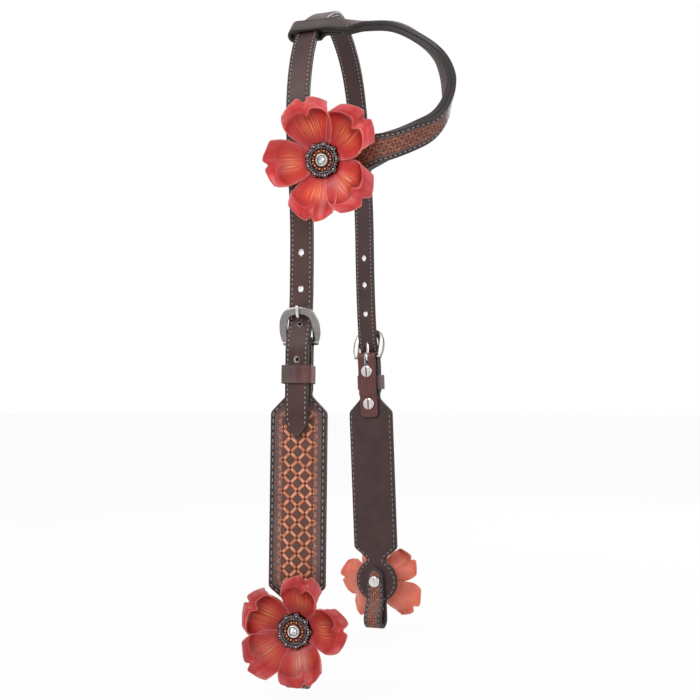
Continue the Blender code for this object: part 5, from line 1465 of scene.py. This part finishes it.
def ear_tooling(u, v, width):
    """Height and dye of the tooling, how much of it shows, and the distance to the edge."""
    inward = width - np.abs(v)
    shown = smooth_step(u, main_start - EAR_RAMPS[0], main_start)
    shown = shown * smooth_step(tooled_end - u, 0, EAR_RAMPS[1])
    return (*tooled(u - main_start, v, inward, np.ones(u.shape, bool)), shown, inward)


def ear_relief(u, v, width):
    """Tooled end into a plain strap with its seam's furrow."""
    height, _, shown, _ = ear_tooling(u, v, width)
    return height * shown + seam_relief(u, v, width) * (1 - shown)


def ear_dye(u, v, side, width):
    """Tooled end into plain brown, black at the edge."""
    _, tint, shown, inward = ear_tooling(u, v, width)
    plain = plain_dye(STRAP_BROWN, BORDER_BROWN)(u, v, side, width)
    return edged(blend_dye(plain, tint, np.where(side > 0, shown, 0.0)), side, inward)


strap_piece("ear_face", strip, EAR_COLUMNS, ear_dye, tooled_leather, "ear_piece", "tooled_leather",
            front=ear_relief, every=EAR_HIDDEN_EVERY)
inside = ((ear_at >= 2 * wrap_start + EAR_LINING_PAST - FIT)
          & (ear_at <= ear_total - 2 * wrap_start - EAR_LINING_PAST + FIT))
shift = ear_value(ear_at, 0.0, 0.0, 0.0, -ear_loop / 2 + EAR_LINING / 2 + EAR_CLOSED)[inside]
deep = ear_value(ear_at, EAR_WRAP_LINING, EAR_WRAP_LINING, EAR_WRAP_LINING,
                 EAR_LINING + 2 * EAR_CLOSED)[inside] / 2
lining_frames = (ear_centres[inside] + ear_out[inside] * shift[:, None], ear_across[inside],
                 ear_out[inside], ear_half[inside], deep)
strap_piece("ear_lining", lining_frames, EAR_LINING_COLUMNS, plain_dye(EAR_GREY, LINING_BROWN),
            lining_leather, "ear_piece", "lining_leather")
main = (strip_run > main_start + EAR_SEAM[0]) & (strip_run < main_start + ear_total - EAR_SEAM[1])
stitch_seams("ear_stitches", edge_seams(strip, main, 1), "ear_piece", EAR_PITCH)

# %% Upper flower
spot = along(np.array((wrap_start + EAR_CONCHO_OUT,)), ear_at, ear_centres)[0]
ear_turn = np.column_stack((np.cross(ear_across[0], ear_out[0]), ear_across[0], ear_out[0]))
add_flower("ear", ear_turn, spot + ear_out[0] * (ear_stack / 2 + FIT))

# %% [markdown]
# ## Metal finishes
# The buckles and screws are polished nickel, the conchos dark antiqued metal with copper inside and a
# bright bezel. Metal is all reflection, so each finish is a plain colour with a roughness that changes
# over the surface, as polishing and handling leave it.


# %% Metal materials
def metal(name, tone, roughness, uneven=0.08, scale=140.0, dyed=False):
    """Polished metal: roughness from a slow noise, faint hammering as bump, dark pits where dyed."""
    made, tree, skin = new_material(name)
    place = node(tree, "ShaderNodeTexCoord").outputs["Object"]
    clouds = node(tree, "ShaderNodeTexNoise", None, Vector=place, Scale=scale, Detail=5.0)
    tree.links.new(ranged(tree, clouds.outputs["Fac"], roughness - uneven, roughness + uneven, 0.3, 0.7),
                   skin.inputs["Roughness"])
    low = tuple(0.78 * part for part in tone[:3]) + (1.0,)
    shade = mixed(tree, ranged(tree, clouds.outputs["Fac"], 0.0, 1.0, 0.35, 0.65), low, tone)
    if dyed:
        dye = node(tree, "ShaderNodeAttribute", {"attribute_name": "dye"}).outputs["Color"]
        shade = mixed(tree, 1.0, shade, dye, "MULTIPLY")
    tree.links.new(shade, skin.inputs["Base Color"])
    skin.inputs["Metallic"].default_value = 1.0
    fine = node(tree, "ShaderNodeTexNoise", None, Vector=place, Scale=900.0, Detail=2.0)
    bump = node(tree, "ShaderNodeBump", None, Strength=0.06, Distance=0.0002, Height=fine.outputs["Fac"])
    tree.links.new(bump.outputs[0], skin.inputs["Normal"])
    return made


steel = metal("steel", colour(150, 146, 143), 0.27, 0.07)
nickel = metal("nickel", colour(226, 220, 219), 0.14, 0.05)
dull_nickel = metal("dull_nickel", colour(74, 60, 58), 0.55, 0.05)
gunmetal = metal("gunmetal", (1.0, 1.0, 1.0, 1.0), 0.30, 0.10, 400.0, True)

# %% [markdown]
# Turned shapes (screws, posts, conchos) are a profile carried round an axis. The profile is a list of
# radius and height; every ring is the same circle at another radius, and both poles are single points.


# %% Turned shapes
def turned_points(profile, sides, bend=None):
    """p = (r cos a, r sin a, z) for each profile point and angle, with a pole at each end.

    bend changes the arrays of radius and height by their angle, as for a scalloped edge.
    """
    profile = np.asarray(profile, float)
    angle = full_turn(sides)[None, :]
    radius = np.repeat(profile[1:-1, :1], sides, axis=1)
    height = np.repeat(profile[1:-1, 1:], sides, axis=1)
    if bend is not None:
        radius, height = bend(radius, height, angle)
    rings = np.stack((radius * np.cos(angle), radius * np.sin(angle), height), axis=-1)
    points = np.concatenate((rings.reshape(-1, 3), ((0, 0, profile[0, 1]), (0, 0, profile[-1, 1]))))
    rows = len(profile) - 2
    return points, grid_faces(rows, sides, False, True).tolist() + pole_faces(rows, sides)


def rounded(corners, radius, steps=5):
    """Profile with its inner corners eased: each is a short quadratic curve between its two sides."""
    corners = np.asarray(corners, float)
    share = np.linspace(0.0, 1.0, steps)[:, None]
    rows = [corners[:1]]
    for before, corner, after in zip(corners[:-2], corners[1:-1], corners[2:]):
        reach = min(radius, 0.45 * np.linalg.norm(before - corner), 0.45 * np.linalg.norm(after - corner))
        start = corner + unit(before - corner) * reach
        end = corner + unit(after - corner) * reach
        rows.append((1 - share) ** 2 * start + 2 * share * (1 - share) * corner + share ** 2 * end)
    rows.append(corners[-1:])
    return np.concatenate(rows)


SCREW_TURN = np.array(Euler((math.radians(90.0), 0.0, 0.0)).to_matrix())
LATHE_SIDES = 48
LATHE_SHARP = math.radians(40.0)
DRIVER_WIDTH = 1.1 * MM
DRIVER_DEPTH = 0.6 * MM


def turned_piece(name, profile, turn, place, finish, body):
    """Turned part of a screw or post, at its place."""
    points, faces = turned_points(profile, LATHE_SIDES)
    mesh = make_mesh(points @ turn.T + place, faces)
    mesh.set_sharp_from_angle(angle=LATHE_SHARP)
    return add_piece(name, mesh, (finish,), body)


def slotted_screw(name, head_radius, head, radius, length, turn, place, body):
    """Screw with a low domed head, and a driver's slot cut across it."""
    profile = rounded(((0, head * 1.05), (head_radius * 0.45, head), (head_radius * 0.80, head * 0.90),
                       (head_radius, head * 0.45), (head_radius, 0), (radius, 0), (radius, -length),
                       (0, -length)), 0.35 * MM)
    piece = turned_piece(name, profile, turn, place, nickel, body)
    corners = np.array(((-1, 1), (1, 1), (1, -1), (-1, -1))) * (DRIVER_WIDTH / 2, head_radius + MM)
    slot = prism(corners, head - DRIVER_DEPTH, head + 2 * MM)
    carve((piece,), [slot @ turn.T + place])


# %% Buckles
KEEPER_CORNER = 1.15 * MM
KEEPER_COLUMNS = 41
BUCKLE_FOOT = 1.7 * MM
BUCKLE_SHARP = math.radians(50.0)
TONGUE_SIDES = 20


def band_section(steps=28):
    """Section of the buckle's band: a rounded bevel, |x| to the power 3.4 plus |y| to the power 2.4."""
    turn = np.pi - full_turn(steps, 0.5)
    x = np.sign(np.cos(turn)) * np.abs(np.cos(turn)) ** (2 / 3.4)
    return x, np.sign(np.sin(turn)) * np.abs(np.sin(turn)) ** (2 / 2.4)


def buckle_frame_mesh(side):
    """Horseshoe arch |x|^2.8 + |q|^2.8 = 1 with straight legs, and its bar, in the tilted plane."""
    half = (BUCKLE_INNER + BUCKLE_BAND) / 2
    turn = np.linspace(np.pi, 0.0, 61)
    power = 2 / ARCH_POWER
    x = half * np.sign(np.cos(turn)) * np.abs(np.cos(turn)) ** power
    rise = BUCKLE_RISE / math.cos(BUCKLE_TILT) - spring
    q = spring + rise * np.abs(np.sin(turn)) ** power
    foot = np.column_stack((np.full(14, -half), np.linspace(-BUCKLE_FOOT, spring, 14, endpoint=False)))
    flat = np.concatenate((foot, np.column_stack((x, q)), foot[::-1] * (-1, 1)))
    centres = np.column_stack((flat[:, 0], flat[:, 1] * math.sin(BUCKLE_TILT),
                               flat[:, 1] * math.cos(BUCKLE_TILT)))
    normal = np.array((0.0, math.cos(BUCKLE_TILT), -math.sin(BUCKLE_TILT)))
    across = np.cross(normal, unit(np.gradient(centres, axis=0)))
    taper = glide(flat[:, 1], (-BUCKLE_FOOT, 2.5 * MM, spring, 2 * BUCKLE_RISE), (0.55, 0.84, 1.0, 1.0))
    centres[:, 0] -= np.sign(centres[:, 0]) * BUCKLE_BAND / 2 * (1 - taper)
    end = np.minimum(lengths(centres), lengths(centres)[-1] - lengths(centres))
    soft = np.sqrt(np.clip(1 - (1 - np.clip(end / (1.2 * MM), 0, 1)) ** 2, 0.04, 1.0))
    wide, high = band_section()
    rings = (centres[:, None, :]
             + (BUCKLE_BAND / 2 * taper * soft)[:, None, None] * wide[None, :, None] * across[:, None, :]
             + (BUCKLE_THICKNESS / 2 * soft)[:, None, None] * high[None, :, None] * normal)
    reach = half + 0.12 * BUCKLE_BAND
    bar = tube(np.array(((-reach, 0, 0), (reach, 0, 0))), np.tile((0.0, 1.0, 0.0), (2, 1)), BAR_RADIUS,
               BAR_RADIUS, np.tile((0.0, 0.0, 1.0), (2, 1)), 24)
    points, faces = joined((rings, bar))
    mesh = make_mesh(to_world(side, points), faces)
    mesh.set_sharp_from_angle(angle=BUCKLE_SHARP)
    return mesh


def tongue_mesh(side):
    """Eye round the bar as a ring, and a round stem that flattens where it lies on the band."""
    turn, round_turn = full_turn(48), full_turn(TONGUE_SIDES)
    spoke = np.column_stack((np.zeros(len(turn)), np.cos(turn), np.sin(turn)))
    ring = (spoke[:, None, :] * (TONGUE_EYE + TONGUE_RADIUS * np.sin(round_turn))[None, :, None]
            + np.array((1.0, 0, 0)) * (TONGUE_RADIUS * np.cos(round_turn))[None, :, None])
    stem, x_axis, up = tongue_stem(np.linspace(TONGUE_EYE, TONGUE_TIP, 60))
    rest = TONGUE_TIP - stem[:, 2]
    tip = np.sqrt(np.clip(1 - (1 - np.clip(rest / (1.1 * MM), 0, 1)) ** 2, 0.05, 1.0))
    rod = tube(stem, x_axis, TONGUE_RADIUS * tip, TONGUE_RADIUS * 0.92 * tip, up, TONGUE_SIDES)
    faces = grid_faces(len(turn), TONGUE_SIDES, True, True).tolist()
    faces += closed_rings(rod, len(turn) * TONGUE_SIDES)
    return make_mesh(to_world(side, np.concatenate((ring.reshape(-1, 3), rod.reshape(-1, 3)))), faces)


def keeper_frames(side):
    """Frames of the keeper, whose route is a rounded rectangle round the layers."""
    wide = NECK_WIDTH / 2 + FIT + KEEPER / 2 - KEEPER_CORNER
    low = lining_back - FIT - KEEPER / 2
    high = crown_rest + crown_thick / 2 + FIT + KEEPER / 2
    tall = (high - low) / 2 - KEEPER_CORNER
    signs = np.array(((1, 1), (-1, 1), (-1, -1), (1, -1)))
    corner = np.column_stack((signs * (wide, tall) + (0.0, (low + high) / 2),
                              np.full(4, -KEEPER_TOP - KEEPER_HEIGHT / 2)))
    turn = np.arange(4)[:, None] * np.pi / 2 + np.linspace(0.0, np.pi / 2, 9)
    way = np.stack((np.cos(turn), np.sin(turn), np.zeros_like(turn)), axis=-1)
    arc = corner[:, None] + way * KEEPER_CORNER
    end = np.roll(corner, -1, axis=0)[:, None] + way[:, -1:] * KEEPER_CORNER
    share = np.linspace(0.0, 1.0, 14)[1:-1, None]
    straight = arc[:, -1:] * (1 - share) + end * share
    centres = np.concatenate((arc, straight), axis=1).reshape(-1, 3)
    out = np.concatenate((way, np.broadcast_to(way[:, -1:], straight.shape)), axis=1).reshape(-1, 3)
    across = np.tile((0.0, 0.0, 1.0), (len(centres), 1))
    return (to_world(side, centres), turn_world(side, across), turn_world(side, out), KEEPER_HEIGHT / 2,
            KEEPER / 2)


KEEPER_SHEEN_GREY = colour(98, 82, 80)
KEEPER_BROWN = colour(98, 56, 52)


def keeper_dye_and_sheen(u, v, side, width):
    """Reddish leather with upright stripes of grey painted sheen going round the loop, and dark edges."""
    # Painted sheen: grey stripes round the loop stand in for the studio's reflection on its rounded
    # leather.
    sheen_bands = 0.5 + 0.5 * np.sin(u * 250 + 1.2 * np.sin(u * 640))
    grain = blend_dye(KEEPER_BROWN, KEEPER_SHEEN_GREY, sheen_bands)
    return blend_dye(grain, EDGE_BLACK, np.where(side == 0, 1.0, 0.0))


def keeper_relief(u, v, width):
    """A creased line along each edge."""
    return groove(width - np.abs(v), 1.5 * MM, 0.28 * MM, 0.12 * MM)


# %% Buckles, keepers and the chape's screws
POST_RADIUS = 2.5 * MM
POST_BORE = 1.7 * MM
SCREW_HEAD = 1.2 * MM
SCREW_RADIUS = 1.4 * MM

for side, (matrix, _) in SIDES.items():
    add_piece(side + "_buckle_frame", buckle_frame_mesh(side), (steel,), side + "_frame")
    add_piece(side + "_buckle_tongue", tongue_mesh(side), (nickel,), side + "_tongue")
    loop = strap_points(*keeper_frames(side), KEEPER_COLUMNS, front=keeper_relief)
    add_piece(side + "_keeper", strap_mesh(loop, keeper_dye_and_sheen, True), (strap_leather,),
              side + "_keeper_loop")
    for which, drop, tail in (("upper", UPPER_SCREW, tail_high), ("lower", LOWER_SCREW, tail_low)):
        name = side + "_" + which
        tail_back = tail - CHAPE_TAIL / 2
        length = face_front - tail_back
        profile = rounded(((0, POST_HEAD), (POST_HEAD_RADIUS * 0.7, POST_HEAD),
                           (POST_HEAD_RADIUS, POST_HEAD * 0.5), (POST_HEAD_RADIUS, 0), (POST_RADIUS, 0),
                           (POST_RADIUS, -length), (POST_BORE, -length), (POST_BORE, -FIT), (0, -FIT)),
                          0.3 * MM)
        turned_piece(name + "_post", profile, matrix @ OUTWARD,
                     to_world(side, (0, face_front + FIT, -drop)), dull_nickel, "straps")
        slotted_screw(name + "_screw", POST_HEAD_RADIUS, SCREW_HEAD, SCREW_RADIUS, length - 2 * POST_HEAD,
                      matrix @ SCREW_TURN, to_world(side, (0, tail_back - FIT, -drop)), "straps")

# %% [markdown]
# ## Conchos
# Each concho is one turned disc. Its relief is added over the disc as a height at every radius and
# angle: nine arcs round the edge with a bead in each, a small bead between them, a smooth ring, and ten
# copper beads round the bezel. The same fields give the antiquing, dark where the relief is low.

# %% Concho sizes
CONCHO_RADIUS = 12.5 * MM
CONCHO_LOBES = 9
CONCHO_HEIGHT = 3.2 * MM
CONCHO_KNOTS = (0.30, 0.36, 0.46, 0.56, 0.64, 0.74, 0.86, 0.95, 1.0)
CONCHO_LEVELS = (0.86, 0.76, 0.62, 0.66, 0.84, 0.72, 0.72, 0.52, 0.22)
LOBE_CENTRE = 0.815
LOBE_RADIUS = 0.160
CONCHO_VALLEY = 0.925
RING_AT = 0.64
COPPER_BEADS = 10
COPPER_AT = 0.475
POST_OUT = 2.8 * MM
POST_IN = 2.1 * MM
POST_WEB = 1.0 * MM
BEZEL_OUT = 3.85 * MM
BEZEL_IN = 3.05 * MM
BEZEL_TOP = 3.75 * MM
STONE_SEAT = 2.0 * MM
STONE_HEIGHT = 2.6 * MM
DISC_ROWS = 52
DISC_SIDES = 270
CONCHO_SHARP = math.radians(60.0)

PEWTER_HIGH = colour(196, 180, 182)
PEWTER_LOW = colour(34, 28, 32)
COPPER_HIGH = colour(238, 158, 124)
COPPER_LOW = colour(66, 34, 26)
BEZEL_WHITE = colour(240, 238, 238)


def bead(distance, radius):
    """Height of a ball's cap, radius 1 at its middle and 0 at its edge."""
    return np.sqrt(np.clip(1 - (distance / radius) ** 2, 0.0, 1.0))


def fold_angle(angle, count):
    """Angle from the nearest of so many spokes."""
    step = 2 * np.pi / count
    return (angle + step / 2) % step - step / 2


def concho_relief(share, angle):
    """Height over the disc and brightness of the antiquing, for radius as a share and angle."""
    off = fold_angle(angle, CONCHO_LOBES)
    arc = np.hypot(share * np.cos(off) - LOBE_CENTRE, share * np.sin(off))
    shell = np.exp(-((arc - LOBE_RADIUS * 0.86) / 0.022) ** 2) * smooth_step(share, 0.70, 0.78)
    pearl = bead(np.hypot(share * np.cos(off) - LOBE_CENTRE + 0.01, share * np.sin(off)), 0.082)
    between = fold_angle(angle + np.pi / CONCHO_LOBES, CONCHO_LOBES)
    seed = bead(np.hypot(share * np.cos(between) - 0.90, share * np.sin(between)), 0.042)
    leaf = np.exp(-(between / 0.11) ** 2) * np.exp(-((share - 0.765) / 0.060) ** 2)
    vein = 0.5 + 0.5 * np.cos(54 * angle)
    ring = np.exp(-((share - RING_AT) / 0.024) ** 2)
    copper = fold_angle(angle, COPPER_BEADS)
    ball = bead(np.hypot(share * np.cos(copper) - COPPER_AT, share * np.sin(copper)), 0.068)
    scroll = np.exp(-(fold_angle(angle + np.pi / COPPER_BEADS, COPPER_BEADS) / 0.07) ** 2)
    scroll = scroll * np.exp(-((share - 0.50) / 0.06) ** 2)
    height = MM * (0.34 * shell + 0.78 * pearl + 0.42 * seed + 0.34 * leaf * (0.7 + 0.3 * vein)
                   + 0.30 * ring + 0.62 * ball + 0.22 * scroll)
    bright = np.clip(0.60 * shell + 0.95 * pearl ** 2 + 0.7 * seed + 0.55 * leaf * (0.5 + 0.5 * vein)
                     + 0.42 * ring + 0.95 * ball ** 2 + 0.5 * scroll, 0.0, 1.0)
    return height, bright


def concho_edge(angle):
    """Scalloped edge: the outer crossing of each spoke with its lobe's circle, else the valley."""
    off = fold_angle(angle, CONCHO_LOBES)
    inner = np.clip(LOBE_RADIUS ** 2 - (LOBE_CENTRE * np.sin(off)) ** 2, 0.0, None)
    lobe = (LOBE_CENTRE * np.cos(off) + np.sqrt(inner)) / (LOBE_CENTRE + LOBE_RADIUS)
    return np.maximum(np.where(inner > 0, lobe, 0.0), CONCHO_VALLEY)


def concho_mesh(length, turn, place):
    """Bezel, disc, back and hollow post as one turned profile, with the disc's relief and lobes."""
    bezel = rounded(((0, STONE_SEAT), (BEZEL_IN, STONE_SEAT), (BEZEL_IN, BEZEL_TOP), (BEZEL_OUT, BEZEL_TOP),
                     (BEZEL_OUT, 2.6 * MM)), 0.42 * MM, 6)
    share = np.linspace(0.33, 1.0, DISC_ROWS)
    levels = glide(share, CONCHO_KNOTS, CONCHO_LEVELS)
    disc = np.column_stack((share * CONCHO_RADIUS, levels * CONCHO_HEIGHT))
    back = np.array(((CONCHO_RADIUS * 0.985, 0.25 * MM), (CONCHO_RADIUS * 0.93, 0), (POST_OUT, 0),
                     (POST_OUT, -length), (POST_IN, -length), (POST_IN, -POST_WEB), (0, -POST_WEB)))
    first = len(bezel) - 1
    rows = slice(first, first + DISC_ROWS)
    rim = slice(first + DISC_ROWS, first + DISC_ROWS + 2)

    def scallop(radius, height, angle):
        """Adds the relief to the disc and draws its edge, and the two rings behind, in to the lobes."""
        edge = concho_edge(angle)
        flat = radius[rows] / CONCHO_RADIUS
        added, _ = concho_relief(flat, np.broadcast_to(angle, flat.shape))
        height[rows] += added
        radius[rows] *= 1 + (edge - 1) * smooth_step(flat, 0.80, 1.0)
        radius[rim] *= edge
        return radius, height

    points, faces = turned_points(np.concatenate((bezel, disc, back)), DISC_SIDES, scallop)
    radius, angle = np.meshgrid(share, full_turn(DISC_SIDES), indexing="ij")
    _, bright = concho_relief(radius, angle)
    metal_high = blend_dye(COPPER_HIGH, PEWTER_HIGH, smooth_step(radius, 0.56, 0.62))
    metal_low = blend_dye(COPPER_LOW, PEWTER_LOW, smooth_step(radius, 0.54, 0.60))
    antiqued = blend_dye(metal_low, metal_high, bright).reshape(-1, 3)
    start = first * DISC_SIDES
    dye = np.tile(np.array(PEWTER_HIGH[:3]) * 0.5, (len(points), 1))
    dye[:start] = BEZEL_WHITE[:3]
    dye[start:start + len(antiqued)] = antiqued
    mesh = make_mesh(points @ turn.T + place, faces, dye=dye)
    mesh.set_sharp_from_angle(angle=CONCHO_SHARP)
    return mesh


# %% Stones
STONE_SIDES = 16
STONE_BRIGHT_REFLECTION = colour(250, 251, 252)
STONE_DARK_REFLECTION = colour(92, 100, 108)

# Painted reflections: each face of the stone gets a fixed grey between dark and bright, standing in for
# what a cut stone reflects and bounces inside.
crystal, tree, skin = new_material("stone")
facet_reflection = node(tree, "ShaderNodeAttribute", {"attribute_name": "facet_reflection"}).outputs["Fac"]
place = node(tree, "ShaderNodeTexCoord").outputs["Object"]
clouds = node(tree, "ShaderNodeTexNoise", None, Vector=place, Scale=500.0)
shade = mixed(tree, facet_reflection, STONE_DARK_REFLECTION, STONE_BRIGHT_REFLECTION)
tree.links.new(mixed(tree, 0.12, shade, clouds.outputs["Color"]), skin.inputs["Base Color"])
skin.inputs["Metallic"].default_value = 0.45
skin.inputs["Roughness"].default_value = 0.06
skin.inputs["Coat Weight"].default_value = 1.0
skin.inputs["Coat Roughness"].default_value = 0.02


def crystal_mesh(turn, place, seed):
    """Cut stone: flat table, two rows of facets turned half a step against each other, and a foot."""
    rows = ((0.56, STONE_HEIGHT, 0.5), (0.86, STONE_HEIGHT * 0.80, 0.0), (1.0, STONE_HEIGHT * 0.46, 0.5),
            (0.55, 0.0, 0.0))
    points, faces = [], []
    for share, height, shift in rows:
        angle, radius = full_turn(STONE_SIDES, shift), (BEZEL_IN - FIT) * share
        points.append(np.column_stack((radius * np.cos(angle), radius * np.sin(angle),
                                       np.full(STONE_SIDES, height))))
    points.append(((0, 0, STONE_HEIGHT), (0, 0, 0)))
    around = [(side, (side + 1) % STONE_SIDES) for side in range(STONE_SIDES)]
    for row, (_, _, shift) in enumerate(rows[:-1]):
        here, there = row * STONE_SIDES, (row + 1) * STONE_SIDES
        for side, after in around:
            a, b, c, d = here + side, here + after, there + side, there + after
            faces += [(a, c, d), (a, d, b)] if shift else [(a, c, b), (b, c, d)]
    middle = len(rows) * STONE_SIDES
    last = middle - STONE_SIDES
    for side, after in around:
        faces += [(after, middle, side), (last + side, middle + 1, last + after)]
    mesh = make_mesh(np.concatenate(points) @ turn.T + place, faces, smooth=False)
    # Painted reflections: a fixed value for each face, dark to bright.
    layer = mesh.attributes.new("facet_reflection", "FLOAT", "FACE")
    order = np.arange(len(faces))
    shine = 0.5 + 0.5 * np.sin(order * 2.399 + seed) * np.cos(order * 0.91 + 2 * seed)
    layer.data.foreach_set("value", smooth_step(shine, 0.18, 0.62))
    return mesh


# %% Conchos, stones and their screws
BIT_SCREW_HEAD_RADIUS = 4.8 * MM
BIT_SCREW_HEAD = 1.4 * MM
BIT_SCREW_RADIUS = 1.8 * MM

for side, body, depth, screw in (("near", "straps", flower_seat - bit_back, "_bit_screw"),
                                 ("far", "straps", flower_seat - bit_back, "_bit_screw"),
                                 ("ear", "ear_piece", 2 * ear_stack + FIT, "_screw")):
    turn, seat = flower_frames[side]
    out = turn[:, 2]
    base = FLOWER_LEATHER + FIT
    length = base + depth - FIT
    add_piece(side + "_concho", concho_mesh(length, turn, seat + out * base), (gunmetal,), body)
    stone = crystal_mesh(turn, seat + out * (base + STONE_SEAT + FIT), len(side) + 1)
    add_piece(side + "_crystal", stone, (crystal,), body)
    slotted_screw(side + screw, BIT_SCREW_HEAD_RADIUS, BIT_SCREW_HEAD, BIT_SCREW_RADIUS,
                  length - POST_WEB - FIT - MM, turn @ np.diag((1.0, -1.0, -1.0)),
                  seat - out * (depth + FIT), body)
